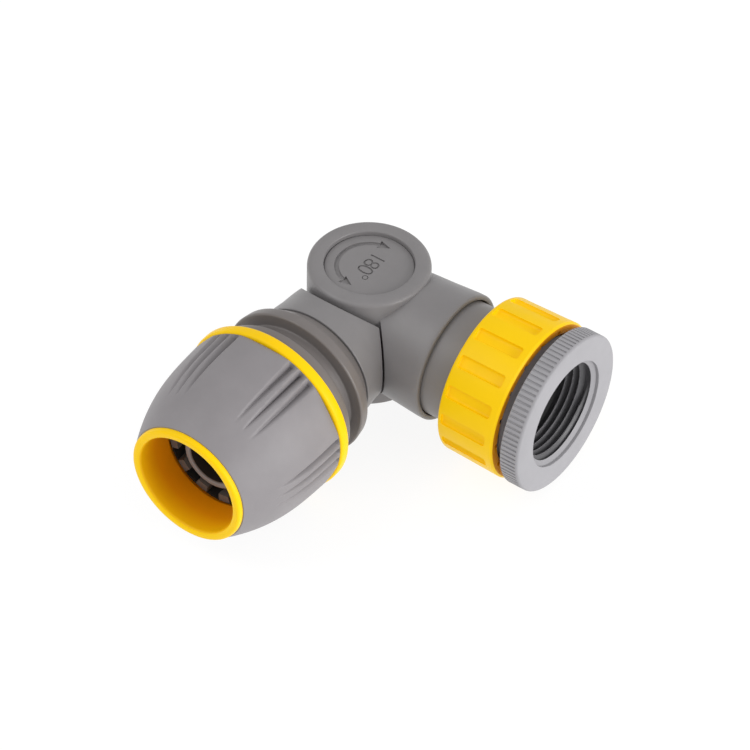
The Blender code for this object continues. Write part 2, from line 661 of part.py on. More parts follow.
def make_tap_washer(parent):
    high = TAP_WASHER_REACH + TAP_WASHER_THICKNESS
    outer = ADAPTER_THREAD_RADIUS - RUNNING_GAP
    obj = ring("tap_washer", TAP_WASHER_HOLE_RADIUS, outer, TAP_WASHER_REACH, high, INNER_STEPS)
    return finish(obj, parent, SEAL_BLACK, 0.6)


# Barbs of the hose tail from the tip towards the web: a slope up to an edge, then a step down.
def tail_outline():
    outline = [(TAIL_TIP_RADIUS, TAIL_TIP_REACH)]
    for index in range(1, BARB_COUNT + 1):
        edge = TAIL_TIP_REACH - index * BARB_PITCH
        outline += [(TAIL_BARB_RADIUS, edge), (TAIL_ROOT_RADIUS, edge)]
    outline.append((TAIL_ROOT_RADIUS, WEB_FRONT_REACH))
    return outline


def make_hose_stem(parent):
    sleeve_bore = SLEEVE_RADIUS - SLEEVE_WALL
    collar_end = STEM_COLLAR_REACH + STEM_COLLAR_THICKNESS
    groove_low = SPIGOT_START_REACH + STEM_GROOVE_SETBACK
    groove_high = groove_low + STEM_ORING_SECTION + 2 * SEAL_GAP
    groove_floor = STEM_SPIGOT_RADIUS + RUNNING_GAP - STEM_ORING_SECTION - 2 * SEAL_GAP
    outline = tail_outline()
    outline += [(sleeve_bore, WEB_FRONT_REACH), (sleeve_bore, SLEEVE_END_REACH)]
    outline += [(SLEEVE_RADIUS, SLEEVE_END_REACH), (SLEEVE_RADIUS, collar_end)]
    outline += round_top(STEM_COLLAR_RADIUS, collar_end, STEM_EDGE_ROUND)
    outline += round_bottom(STEM_COLLAR_RADIUS, STEM_COLLAR_REACH, STEM_EDGE_ROUND)
    outline += [(STEM_CORE_RADIUS, STEM_COLLAR_REACH), (STEM_CORE_RADIUS, FLANGE_REACH)]
    outline += round_top(FLANGE_RADIUS, FLANGE_REACH, STEM_EDGE_ROUND)
    outline.append((FLANGE_CORNER_RADIUS, FLANGE_CORNER_REACH))
    outline += [(FLANGE_BACK_RADIUS, FLANGE_START_REACH), (STEM_SPIGOT_RADIUS, FLANGE_START_REACH)]
    outline += groove(STEM_SPIGOT_RADIUS, groove_floor, groove_low, groove_high)
    outline += [(STEM_SPIGOT_RADIUS, SPIGOT_START_REACH), (STEM_BORE_RADIUS, SPIGOT_START_REACH)]
    outline += [(STEM_BORE_RADIUS, STEM_COLLAR_REACH), (TAIL_BORE_RADIUS, TAIL_BORE_REACH)]
    outline.append((TAIL_BORE_RADIUS, TAIL_TIP_REACH))
    return finish(turned("hose_stem", outline, OUTER_STEPS), parent, STEM_GREY, 0.42)


def make_stem_oring(parent):
    middle = SPIGOT_START_REACH + STEM_GROOVE_SETBACK + SEAL_GAP + STEM_ORING_SECTION / 2
    return oring("stem_oring", STEM_SPIGOT_RADIUS + RUNNING_GAP, STEM_ORING_SECTION, middle, parent)


# Radius of the nut's inner cone at a reach along the arm.
def cone_radius(reach):
    share = (reach - NUT_CONE_REACH) / (NUT_CONE_END_REACH - NUT_CONE_REACH)
    return NUT_CONE_RADIUS + share * (NUT_CONE_END_RADIUS - NUT_CONE_RADIUS)


# The collet follows the nut's cone at the running gap, and slots split it into jaws.
def make_collet(parent):
    ring_end = COLLET_REACH + COLLET_RING_THICKNESS
    ring_radius = cone_radius(ring_end) - RUNNING_GAP
    outline = [(cone_radius(COLLET_END_REACH) - RUNNING_GAP, COLLET_END_REACH)]
    outline += [(ring_radius, ring_end), (ring_radius, COLLET_REACH)]
    outline += [(COLLET_RING_BORE_RADIUS, COLLET_REACH), (COLLET_RING_BORE_RADIUS, ring_end)]
    outline += [(JAW_BORE_RADIUS, ring_end + COLLET_RING_BORE_RADIUS - JAW_BORE_RADIUS)]
    outline.append((JAW_BORE_RADIUS, COLLET_END_REACH))
    obj = turned("collet", outline, OUTER_STEPS)
    half = JAW_SLOT_WIDTH / 2
    low = (JAW_BORE_RADIUS - 2 * CUT_MARGIN, -half, ring_end)
    slot = box("jaw_slot", low, (NUT_CONE_RADIUS + CUT_MARGIN, half, COLLET_END_REACH + CUT_MARGIN))
    cut(obj, around("jaw_slots", slot, JAW_COUNT, JAW_FIRST_ANGLE + math.pi / JAW_COUNT))
    return finish(obj, parent, JAW_GREY, 0.42)


# Outer side of the nut's core from its lip down to the back ring, at a distance from its surface.
def core_side(away, high, low):
    mouth_radius = NUT_MOUTH_RADIUS + NUT_MOUTH_WALL + away
    core_radius = NUT_CORE_RADIUS + away
    return [
        (mouth_radius, high),
        (mouth_radius, NUT_TAPER_END_REACH),
        (core_radius, NUT_CONE_REACH),
        (core_radius, low),
    ]


def make_hose_nut(parent):
    ring_end = NUT_REACH + NUT_RING_LENGTH
    lip_top = NUT_LIP_REACH + NUT_LIP_LENGTH
    lip_middle = (NUT_LIP_RADIUS - NUT_LIP_ROUND, NUT_LIP_REACH)
    outline = arc(lip_middle, NUT_LIP_ROUND, NUT_LIP_LENGTH, 90, 0, 4)
    outline += core_side(0, NUT_LIP_REACH, ring_end)
    outline += round_top(NUT_RING_RADIUS, ring_end, NUT_RING_ROUND)
    outline += round_bottom(NUT_RING_RADIUS, NUT_REACH, NUT_RING_ROUND)
    outline += [(NUT_THREAD_RADIUS, NUT_REACH), (NUT_THREAD_RADIUS, NUT_CONE_REACH - CUT_MARGIN / 2)]
    outline += [(NUT_CONE_RADIUS, NUT_CONE_REACH), (NUT_CONE_END_RADIUS, NUT_CONE_END_REACH)]
    outline.append((NUT_MOUTH_RADIUS, NUT_CONE_END_REACH + NUT_CONE_END_RADIUS - NUT_MOUTH_RADIUS))
    outline.append((NUT_MOUTH_RADIUS, lip_top - NUT_LIP_ROUND / 10))
    return finish(turned("hose_nut", outline, OUTER_STEPS), parent, NUT_YELLOW, 0.35)


# The grip's outer side is two smooth stretches: a barrel from the ring to the shoulder, and a nose.
def grip_side():
    front_reach = NUT_LIP_REACH - RUNNING_GAP
    nose_mid_reach = (GRIP_SHOULDER_REACH + GRIP_TAPER_REACH) / 2
    nose_mid_radius = (GRIP_SHOULDER_RADIUS + GRIP_TAPER_RADIUS) / 2
    bulge = (GRIP_SHOULDER_RADIUS - GRIP_TAPER_RADIUS) / 5
    return [
        (GRIP_FRONT_RADIUS, front_reach),
        (GRIP_TAPER_RADIUS, GRIP_TAPER_REACH),
        (nose_mid_radius + bulge, nose_mid_reach),
        (GRIP_SHOULDER_RADIUS, GRIP_SHOULDER_REACH),
        (GRIP_BACK_RADIUS, (GRIP_REACH + GRIP_SHOULDER_REACH) / 2),
        (GRIP_BACK_RADIUS, GRIP_REACH),
    ]


def make_nut_grip(parent):
    outline = grip_side()
    outline += reversed(core_side(RUNNING_GAP, NUT_LIP_REACH - RUNNING_GAP, GRIP_REACH))
    grip = turned("nut_grip", outline, OUTER_STEPS)
    pitch = math.pi / GROOVE_GROUP_COUNT
    cut(grip, around("panel_dishes", panel_dish(), GROOVE_GROUP_COUNT, pitch))
    for index in (-1, 0, 1):
        name = "grip_grooves_" + str(index + 2)
        cut(grip, around(name, grip_groove(), GROOVE_GROUP_COUNT, index * GROOVE_SPREAD))
    return finish(grip, parent, GRIP_GREY, 0.5)


# A groove is a tapering bar that follows the grip's surface at local +X: widest at the yellow ring.
def grip_groove():
    curve = bpy.data.curves.new("grip_groove", "CURVE")
    curve.dimensions = "3D"
    curve.fill_mode = "FULL"
    curve.bevel_depth = GROOVE_DEPTH
    curve.bevel_resolution = 1
    curve.use_fill_caps = True
    line = curve.splines.new("POLY")
    line.points.add(GROOVE_STATIONS)
    start = GRIP_REACH - CUT_MARGIN
    for index, point in enumerate(line.points):
        share = index / GROOVE_STATIONS
        reach = start + share * (GROOVE_END_REACH - start)
        point.co = (grip_radius(reach), 0, reach, 1)
        point.radius = 1 - share * (1 - GROOVE_TIP_DEPTH / GROOVE_DEPTH)
    return solid_from_curve("grip_groove", curve)


# Radius of the grip's outer side at a reach along the arm.
def grip_radius(reach):
    side = grip_side()
    for (upper_radius, upper), (lower_radius, lower) in zip(side, side[1:]):
        if reach >= lower:
            share = (reach - lower) / (upper - lower)
            return lower_radius + share * (upper_radius - lower_radius)
    return GRIP_BACK_RADIUS


# A shallow dish at the yellow ring, in the panel between two groups of grooves, at local +X.
def panel_dish():
    shape = bmesh.new()
    bmesh.ops.create_uvsphere(shape, u_segments=DISH_STEPS, v_segments=DISH_STEPS, radius=1)
    size = Matrix.Diagonal((PANEL_DISH_HALF_HEIGHT, PANEL_DISH_HALF_WIDTH, PANEL_DISH_HALF_LENGTH, 1))
    lift = GRIP_BACK_RADIUS + PANEL_DISH_HALF_HEIGHT - PANEL_DISH_DEPTH
    place = Matrix.Translation((lift, 0, GRIP_REACH - CUT_MARGIN))
    bmesh.ops.transform(shape, matrix=place @ size, verts=shape.verts)
    return from_bmesh("panel_dish", shape)


def make_coupler():
    clear_scene()
    new_collection("hose_elbow_coupler")
    new_collection("cutters")
    hub = new_frame("swivel_axis", AXIS_HEIGHT, 0, 0)
    tap = new_frame("tap_axis", AXIS_HEIGHT, 0, math.pi / 2)
    hose = new_frame("hose_axis", AXIS_HEIGHT, math.pi / 2, 0)

    make_tap_arm_body(hub)
    make_hub_cap(hub)
    make_hose_arm_body(hub)
    make_base_cap(hub)
    make_swivel_oring("swivel_oring_lower", SWIVEL_FIRST_GROOVE, hub)
    make_swivel_oring("swivel_oring_upper", SWIVEL_SECOND_GROOVE, hub)
    make_swivel_washer(hub)
    make_swivel_clip(hub)

    make_tap_spigot(tap)
    make_spigot_oring(tap)
    make_collar_clip(tap)
    make_face_washer(tap)
    make_collar_nut(tap)
    make_thread_adapter(tap)
    make_tap_washer(tap)

    make_hose_stem(hose)
    make_stem_oring(hose)
    make_collet(hose)
    make_hose_nut(hose)
    make_nut_grip(hose)


make_coupler()
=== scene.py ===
import json
import math

import bpy
from mathutils import Euler, Matrix, Quaternion, Vector
from mathutils.geometry import interpolate_bezier

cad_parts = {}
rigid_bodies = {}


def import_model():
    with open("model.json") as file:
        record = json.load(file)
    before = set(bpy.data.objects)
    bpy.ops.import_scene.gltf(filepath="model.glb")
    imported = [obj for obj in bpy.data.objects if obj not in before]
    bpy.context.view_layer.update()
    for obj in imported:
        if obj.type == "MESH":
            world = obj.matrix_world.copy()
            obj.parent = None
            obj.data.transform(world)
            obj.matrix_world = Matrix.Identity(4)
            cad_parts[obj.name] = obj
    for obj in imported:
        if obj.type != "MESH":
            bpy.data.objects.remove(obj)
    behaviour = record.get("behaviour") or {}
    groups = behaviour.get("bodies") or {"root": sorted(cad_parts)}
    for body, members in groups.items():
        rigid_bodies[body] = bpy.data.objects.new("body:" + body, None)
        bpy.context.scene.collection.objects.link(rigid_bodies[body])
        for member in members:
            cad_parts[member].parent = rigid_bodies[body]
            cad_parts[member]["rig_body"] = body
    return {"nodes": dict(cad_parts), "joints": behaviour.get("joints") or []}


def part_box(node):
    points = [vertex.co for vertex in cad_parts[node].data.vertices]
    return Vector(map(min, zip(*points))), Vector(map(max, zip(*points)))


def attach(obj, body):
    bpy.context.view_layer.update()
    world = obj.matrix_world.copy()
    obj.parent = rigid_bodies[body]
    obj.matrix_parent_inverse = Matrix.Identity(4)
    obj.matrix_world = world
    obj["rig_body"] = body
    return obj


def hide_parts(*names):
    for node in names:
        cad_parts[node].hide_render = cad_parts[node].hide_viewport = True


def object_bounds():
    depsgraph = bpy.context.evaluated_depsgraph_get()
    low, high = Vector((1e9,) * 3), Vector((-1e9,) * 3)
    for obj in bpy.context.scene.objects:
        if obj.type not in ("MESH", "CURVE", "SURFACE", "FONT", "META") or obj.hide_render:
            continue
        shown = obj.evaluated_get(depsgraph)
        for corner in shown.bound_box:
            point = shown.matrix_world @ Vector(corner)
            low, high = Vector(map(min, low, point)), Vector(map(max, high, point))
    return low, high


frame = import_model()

# A garden hose elbow coupler on a pale table. The tap arm lies along +X and the hose arm along -Y, and the
# halves of the elbow swivel about world Z. Every piece is modelled upright, with its own axis on world Z and
# its reach from the swivel axis as height, and is then laid on its arm. All lengths are in metres.

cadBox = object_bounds()
mm = 0.001
joints = {joint["name"]: joint for joint in frame["joints"]}
axisHeight = joints["elbow_swivel"]["pos_m"][2]
fineSteps = 180
smoothAngle = math.radians(33)
weldDistance = 0.004 * mm
quarter = math.pi / 2
vertexMode, edgeMode = (True, False, False), (False, True, False)


def armFrame(turn):
    return Matrix.Translation((0, 0, axisHeight)) @ turn.to_matrix().to_4x4()


arms = {
    "hub": armFrame(Euler((0, 0, 0))),
    "hubBelow": armFrame(Euler((math.pi, 0, -quarter))),
    "tap": armFrame(Euler((0, quarter, 0))) @ Matrix.Rotation(quarter, 4, "Z"),
    "hose": armFrame(Euler((quarter, 0, 0))),
}


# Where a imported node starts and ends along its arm, measured from the swivel axis.
def reachOf(node):
    low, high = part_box(node)
    if -low.y > high.x:
        return -high.y, -low.y
    return low.x, high.x


def selectOnly(*pieces):
    bpy.ops.object.select_all(action="DESELECT")
    for piece in pieces:
        piece.select_set(True)
    bpy.context.view_layer.objects.active = pieces[0]


def nameNew(name):
    piece = bpy.context.active_object
    piece.name = name
    piece.data.name = name
    return piece


def openEdit(piece):
    selectOnly(piece)
    bpy.ops.object.mode_set(mode="EDIT")


def closeEdit():
    bpy.ops.object.mode_set(mode="OBJECT")


def applyPlace(piece):
    selectOnly(piece)
    bpy.ops.object.transform_apply(location=True, rotation=True, scale=True)


# Corners are (radius, reach) or (radius, reach, rounding), and a rounding becomes an arc of four edges.
def roundCorners(corners, closed, arcSteps=4):
    points = []
    for index, corner in enumerate(corners):
        here = Vector(corner[:2])
        inside = closed or 0 < index < len(corners) - 1
        if len(corner) < 3 or not inside:
            points.append(here)
            continue
        before = Vector(corners[index - 1][:2]) - here
        after = Vector(corners[(index + 1) % len(corners)][:2]) - here
        half = before.angle(after) / 2
        back = min(corner[2] / math.tan(half), 0.49 * before.length, 0.49 * after.length)
        size = back * math.tan(half)
        middle = here + (before.normalized() + after.normalized()).normalized() * size / math.sin(half)
        first = here + before.normalized() * back - middle
        last = here + after.normalized() * back - middle
        sweep = first.angle_signed(last)
        for step in range(arcSteps + 1):
            turn = Matrix.Rotation(-sweep * step / arcSteps, 2)
            points.append(middle + turn @ first)
    return points


# Draws the outline by extruding one vertex from corner to corner, then spins it about world Z. An outline
# that starts and ends on the axis is open, and any other one is closed into a ring. A ring needs five points
# or more once its corners are rounded, because edge_face_add fills a chain of three edges with a face.
def turnOutline(name, corners, steps=fineSteps):
    closed = corners[0][0] > 0
    points = roundCorners(corners, closed)
    bpy.ops.object.select_all(action="DESELECT")
    bpy.ops.mesh.primitive_plane_add(size=mm, location=(0, 0, 0))
    piece = nameNew(name)
    openEdit(piece)
    bpy.ops.mesh.select_all(action="SELECT")
    bpy.ops.mesh.merge(type="CENTER")
    bpy.ops.transform.translate(value=(points[0].x, 0, points[0].y))
    for before, after in zip(points, points[1:]):
        move = after - before
        bpy.ops.mesh.extrude_region_move(TRANSFORM_OT_translate={"value": (move.x, 0, move.y)})
    bpy.ops.mesh.select_all(action="SELECT")
    if closed:
        closeEdit()
        mesh = piece.data
        for vertex in mesh.vertices:
            vertex.select = vertex.index in (0, len(points) - 1)
        for edge in mesh.edges:
            edge.select = False
        openEdit(piece)
        bpy.ops.mesh.edge_face_add()
        bpy.ops.mesh.select_all(action="SELECT")
    bpy.ops.mesh.spin(steps=steps, angle=2 * math.pi, center=(0, 0, 0), axis=(0, 0, 1))
    bpy.ops.mesh.select_all(action="SELECT")
    bpy.ops.mesh.remove_doubles(threshold=weldDistance)
    bpy.ops.mesh.normals_make_consistent(inside=False)
    closeEdit()
    return piece


def addBlock(name, low, high):
    low, high = Vector(low), Vector(high)
    bpy.ops.object.select_all(action="DESELECT")
    bpy.ops.mesh.primitive_cube_add(size=1, location=(low + high) / 2)
    piece = nameNew(name)
    piece.scale = high - low
    applyPlace(piece)
    return piece


def combine(piece, tool, operation):
    selectOnly(piece)
    step = piece.modifiers.new(operation.lower(), "BOOLEAN")
    step.operation = operation
    step.solver = "EXACT"
    step.object = tool
    bpy.ops.object.modifier_apply(modifier=step.name)
    bpy.data.objects.remove(tool, do_unlink=True)
    return piece


def carve(piece, tool):
    return combine(piece, tool, "DIFFERENCE")


def weldOn(piece, tool):
    return combine(piece, tool, "UNION")


# Copies of one tool round world Z, joined into one object.
def repeatRound(tool, count, firstAngle=0.0):
    copies = []
    for index in range(count):
        copy = tool.copy()
        copy.data = tool.data.copy()
        copy.rotation_euler.z = firstAngle + index * 2 * math.pi / count
        bpy.context.collection.objects.link(copy)
        copies.append(copy)
    bpy.data.objects.remove(tool, do_unlink=True)
    selectOnly(*copies)
    bpy.ops.object.join()
    applyPlace(copies[0])
    return copies[0]


# A closed helical bar. Its section's points are (radius, height), with the first turn's middle at height 0.
# It sinks into its wall over the runout, a share of a turn at both ends.
def threadBar(name, section, start, pitch, turns, steps=96, runout=0.1, flattest=0.02):
    bpy.ops.object.select_all(action="DESELECT")
    bpy.ops.mesh.primitive_circle_add(vertices=len(section), radius=mm, fill_type="NGON")
    bar = nameNew(name)
    for vertex, (radius, height) in zip(bar.data.vertices, section):
        vertex.co = (radius, 0, start + height)
    openEdit(bar)
    bpy.ops.mesh.select_all(action="SELECT")
    bpy.ops.mesh.delete(type="ONLY_FACE")
    closeEdit()
    screw = bar.modifiers.new("thread", "SCREW")
    screw.axis = "Z"
    screw.angle = 2 * math.pi
    screw.screw_offset = pitch
    screw.iterations = turns
    screw.steps = steps
    screw.render_steps = steps
    bpy.ops.object.modifier_apply(modifier=screw.name)
    sunk = section[0][0]
    for vertex in bar.data.vertices:
        radius = math.hypot(vertex.co.x, vertex.co.y)
        height = section[vertex.index % len(section)][1]
        turn = (vertex.co.z - start - height) / pitch
        rise = min(1, turn / runout, (turns - turn) / runout)
        target = sunk + (radius - sunk) * max(rise, flattest)
        vertex.co.x *= target / radius
        vertex.co.y *= target / radius
    openEdit(bar)
    bpy.ops.mesh.select_all(action="SELECT")
    bpy.ops.mesh.fill_holes(sides=len(section))
    bpy.ops.mesh.select_all(action="SELECT")
    bpy.ops.mesh.normals_make_consistent(inside=False)
    closeEdit()
    return bar


# The ridge of a V thread between a root and a crest radius, a little sunk into the wall at its root. Its
# widths are shares of the pitch.
def ridgeSection(root, crest, pitch, crestShare=0.12, rootShare=0.92, sink=0.15 * mm):
    sunk = root + math.copysign(sink, root - crest)
    wide = rootShare * pitch / 2
    flat = crestShare * pitch / 2
    return [(sunk, -wide), (sunk, wide), (root, wide), (crest, flat), (crest, -flat), (root, -wide)]


def smoothSurface(piece):
    selectOnly(piece)
    bpy.ops.object.shade_smooth_by_angle(angle=smoothAngle)


# Lays a finished piece on its arm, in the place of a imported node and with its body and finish.
def seat(piece, arm, node, material):
    smoothSurface(piece)
    piece.matrix_world = arms[arm]
    applyPlace(piece)
    piece.data.materials.clear()
    piece.data.materials.append(material)
    body = frame["nodes"][node]["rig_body"]
    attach(piece, body)
    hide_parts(node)
    print("made", piece.name, len(piece.data.polygons), "faces")
    return piece


# Gives a second finish to the faces that a rule on their radius and reach picks out, either a plastic of
# their own or painted shade.
def finishOrPaintedShadeWhere(piece, arm, material, rule):
    piece.data.materials.append(material)
    upright = arms[arm].inverted()
    for face in piece.data.polygons:
        place = upright @ face.center
        if rule(math.hypot(place.x, place.y), place.z):
            face.material_index = len(piece.data.materials) - 1


def addNode(material, kind, **values):
    node = material.node_tree.nodes.new("ShaderNode" + kind)
    for name, value in values.items():
        node.inputs[name].default_value = value
    return node


noiseLow, noiseHigh = 0.3, 0.7


# Moulded plastic: a faint cloud in its tone, a fine grain in its gloss and relief, all on Object coordinates.
# A look with a deep tone also gets painted shade that deepens along the hose arm.
def mouldedPlastic(name, look):
    material = bpy.data.materials.new(name)
    material.use_nodes = True
    link = material.node_tree.links.new
    shader = material.node_tree.nodes["Principled BSDF"]
    shader.inputs["Metallic"].default_value = 0
    shader.inputs["Specular IOR Level"].default_value = look.get("specular", 0.5)
    place = addNode(material, "TexCoord").outputs["Object"]

    cloud = addNode(material, "TexNoise", Scale=look["cloudScale"], Detail=3.0, Roughness=0.6)
    link(place, cloud.inputs["Vector"])
    tone = addNode(material, "ValToRGB")
    tone.color_ramp.elements[0].position = noiseLow
    tone.color_ramp.elements[1].position = noiseHigh
    tone.color_ramp.elements[0].color = (*[share * look["dark"] for share in look["colour"]], 1)
    tone.color_ramp.elements[1].color = (*look["colour"], 1)
    link(cloud.outputs["Fac"], tone.inputs["Fac"])
    link(tone.outputs["Color"], shader.inputs["Base Color"])
    # Painted shade: a deeper orange fades in along the hose arm, darkest inside the mouth.
    if "deep" in look:  # the tone deepens along the hose arm, as light gets lost between yellow walls
        split = addNode(material, "SeparateXYZ")
        link(place, split.inputs["Vector"])
        depth = addNode(material, "MapRange")
        depth.inputs["From Min"].default_value = look["fade"][0]
        depth.inputs["From Max"].default_value = look["fade"][1]
        link(split.outputs["Y"], depth.inputs["Value"])
        blend = addNode(material, "MixRGB")
        blend.inputs["Color2"].default_value = (*look["deep"], 1)
        link(depth.outputs["Result"], blend.inputs["Fac"])
        link(tone.outputs["Color"], blend.inputs["Color1"])
        link(blend.outputs["Color"], shader.inputs["Base Color"])

    grain = addNode(material, "TexNoise", Scale=look["grainScale"], Detail=4.0, Roughness=0.65)
    link(place, grain.inputs["Vector"])
    gloss = addNode(material, "MapRange")
    gloss.inputs["From Min"].default_value = noiseLow
    gloss.inputs["From Max"].default_value = noiseHigh
    gloss.inputs["To Min"].default_value = look["smooth"]
    gloss.inputs["To Max"].default_value = look["rough"]
    link(grain.outputs["Fac"], gloss.inputs["Value"])
    link(gloss.outputs["Result"], shader.inputs["Roughness"])
    relief = addNode(material, "Bump", Strength=look["reliefStrength"], Distance=look["reliefDepth"])
    link(grain.outputs["Fac"], relief.inputs["Height"])
    link(relief.outputs["Normal"], shader.inputs["Normal"])
    return material


finishes = {
    "bodyPlastic": {
        "colour": (0.225, 0.215, 0.218), "dark": 0.93, "cloudScale": 140, "grainScale": 5200,
        "smooth": 0.36, "rough": 0.46, "reliefStrength": 0.25, "reliefDepth": 0.02 * mm,
    },
    "stemPlastic": {
        "colour": (0.178, 0.160, 0.154), "dark": 0.92, "cloudScale": 150, "grainScale": 5200,
        "smooth": 0.34, "rough": 0.44, "reliefStrength": 0.25, "reliefDepth": 0.02 * mm,
    },
    "gripRubber": {
        "colour": (0.262, 0.246, 0.255), "dark": 0.92, "cloudScale": 120, "grainScale": 6500,
        "smooth": 0.46, "rough": 0.58, "reliefStrength": 0.35, "reliefDepth": 0.03 * mm,
    },
    "nutPlastic": {
        "colour": (1.0, 0.63, 0.001), "dark": 0.97, "cloudScale": 130, "grainScale": 5000,
        "smooth": 0.32, "rough": 0.42, "reliefStrength": 0.2, "reliefDepth": 0.02 * mm, "specular": 0.14,
    },
    # mouthPlastic: a deeper orange that paints the shade inside the hose nut's mouth and on the collar nut's
    # front face.
    "mouthPlastic": {
        "colour": (1.0, 0.60, 0.002), "dark": 0.96, "cloudScale": 130, "grainScale": 5000,
        "smooth": 0.36, "rough": 0.46, "reliefStrength": 0.2, "reliefDepth": 0.02 * mm, "specular": 0.15,
        "deep": (0.86, 0.33, 0.001), "fade": (-73.2 * mm, -66.0 * mm),
    },
    "jawPlastic": {
        "colour": (0.16, 0.150, 0.145), "dark": 0.90, "cloudScale": 200, "grainScale": 5200,
        "smooth": 0.36, "rough": 0.48, "reliefStrength": 0.25, "reliefDepth": 0.02 * mm,
    },
    "threadPlastic": {
        "colour": (0.10, 0.098, 0.104), "dark": 0.85, "cloudScale": 220, "grainScale": 5200,
        "smooth": 0.30, "rough": 0.42, "reliefStrength": 0.25, "reliefDepth": 0.02 * mm,
    },
    "adapterPlastic": {
        "colour": (0.345, 0.338, 0.355), "dark": 0.94, "cloudScale": 150, "grainScale": 5200,
        "smooth": 0.42, "rough": 0.52, "reliefStrength": 0.25, "reliefDepth": 0.02 * mm, "specular": 0.3,
    },
    # sealRubber: the seals' black rubber, also painted as shade into the stem's bore and the jaws' slots.
    "sealRubber": {
        "colour": (0.02, 0.02, 0.02), "dark": 0.7, "cloudScale": 260, "grainScale": 4000,
        "smooth": 0.50, "rough": 0.66, "reliefStrength": 0.4, "reliefDepth": 0.03 * mm,
    },
    "clipPlastic": {
        "colour": (0.72, 0.72, 0.70), "dark": 0.95, "cloudScale": 220, "grainScale": 5000,
        "smooth": 0.36, "rough": 0.48, "reliefStrength": 0.25, "reliefDepth": 0.02 * mm,
    },
}
material = {name: mouldedPlastic(name, look) for name, look in finishes.items()}
print("finishes ready")


# The camera looks down on the coupler from the side of its two mouths.
view = {
    "azimuth": 34.8, "elevation": 44.69, "roll": 1.36, "distance": 0.977, "lens": 195.1,
    "right": 1.61 * mm, "up": -14.9 * mm, "sensor": 36, "nearest": 0.05,
}


def addCamera():
    azimuth, elevation = math.radians(view["azimuth"]), math.radians(view["elevation"])
    forward = -Vector((
        math.sin(azimuth) * math.cos(elevation),
        -math.cos(azimuth) * math.cos(elevation),
        math.sin(elevation),
    ))
    stand = forward.to_track_quat("-Z", "Y") @ Quaternion((0, 0, 1), math.radians(view["roll"]))
    aim = Vector((0, 0, axisHeight)) + stand @ Vector((view["right"], view["up"], 0))
    lens = bpy.data.cameras.new("photoCamera")
    lens.sensor_width = view["sensor"]
    lens.lens = view["lens"]
    lens.clip_start = view["nearest"]
    camera = bpy.data.objects.new("photoCamera", lens)
    camera.location = aim - forward * view["distance"]
    camera.rotation_euler = stand.to_euler()
    bpy.context.scene.collection.objects.link(camera)
    bpy.context.scene.camera = camera


# Soft boxes: (azimuth, elevation, distance, size, power), all aimed at the coupler.
softBoxes = {
    "keyBox": (-50, 50, 0.75, 0.45, 1.2),
    "sideBox": (96, 14, 0.80, 0.50, 4.2),
}
worldStrength = 0.70


def addLights():
    middle = (cadBox[0] + cadBox[1]) / 2
    for name, (azimuth, elevation, distance, size, power) in softBoxes.items():
        azimuth, elevation = math.radians(azimuth), math.radians(elevation)
        towards = Vector((
            math.sin(azimuth) * math.cos(elevation),
            -math.cos(azimuth) * math.cos(elevation),
            math.sin(elevation),
        ))
        light = bpy.data.lights.new(name, "AREA")
        light.size = size
        light.energy = power
        lamp = bpy.data.objects.new(name, light)
        lamp.location = middle + towards * distance
        lamp.rotation_euler = (-towards).to_track_quat("-Z", "Y").to_euler()
        bpy.context.scene.collection.objects.link(lamp)
    world = bpy.data.worlds.new("studio")
    world.use_nodes = True
    world.node_tree.nodes["Background"].inputs["Color"].default_value = (1, 1, 1, 1)
    world.node_tree.nodes["Background"].inputs["Strength"].default_value = worldStrength
    bpy.context.scene.world = world
    bpy.context.scene.view_settings.view_transform = "Standard"


floorLook = {
    "colour": (0.15, 0.15, 0.15), "dark": 0.995, "cloudScale": 3, "grainScale": 900,
    "smooth": 0.75, "rough": 0.85, "reliefStrength": 0.05, "reliefDepth": 0.02 * mm, "specular": 0.2,
}
floorSheet = {"size": 6, "drop": 0.02 * mm, "glow": 0.88}


def addFloor():
    bpy.ops.object.select_all(action="DESELECT")
    level = cadBox[0].z - floorSheet["drop"]
    bpy.ops.mesh.primitive_plane_add(size=floorSheet["size"], location=(0, 0, level))
    sheet = nameNew("studioFloor")
    applyPlace(sheet)
    paleFloor = mouldedPlastic("paleFloor", floorLook)
    glow = paleFloor.node_tree.nodes["Principled BSDF"].inputs
    glow["Emission Color"].default_value = (1, 1, 1, 1)
    glow["Emission Strength"].default_value = floorSheet["glow"]  # like a light table, for a faint shadow
    sheet.data.materials.append(paleFloor)


addCamera()
addLights()
addFloor()
print("studio ready")


# One half of the elbow: a barrel along +X, mitred on the swivel axis, under half of the hub's height.
elbow = {
    "hubRadius": 14.85 * mm, "hubRounding": 1.1 * mm, "seamGap": 0.15 * mm, "mitreGap": 0.25 * mm,
    "sweepGap": 1.5 * mm, "sweepRise": 0.03 * mm,
    "rootRadius": 15.0 * mm, "throatRadius": 15.9 * mm, "throatReach": 17.0 * mm,
    "socketReach": 18.0 * mm, "seatRadius": 10.9 * mm, "seatDepth": 3.3 * mm, "chamberRadius": 10.0 * mm,
    "rimRounding": 0.5 * mm, "rimFlare": 2.6 * mm, "rimDrop": 0.1 * mm, "mouthRounding": 0.3 * mm,
    "lipBlend": 6 * mm, "throatBlend": 8 * mm,
}
tapBarrel = {
    "radius": 16.4 * mm, "parallel": 2.0 * mm, "lipRounding": 0.9 * mm, "socketRadius": 15.1 * mm,
    "channel": (9.6 * mm, 3.2 * mm, 8.0 * mm), "floor": 6.15 * mm, "bore": 8.9 * mm,
}
hoseBarrel = {
    "radius": 16.5 * mm, "parallel": 0.4 * mm, "lipRounding": 0.3 * mm, "socketRadius": 13.3 * mm,
    "channel": (7.3 * mm, 4.3 * mm, 7.0 * mm), "floor": 3.0 * mm, "bore": 6.0 * mm,
}
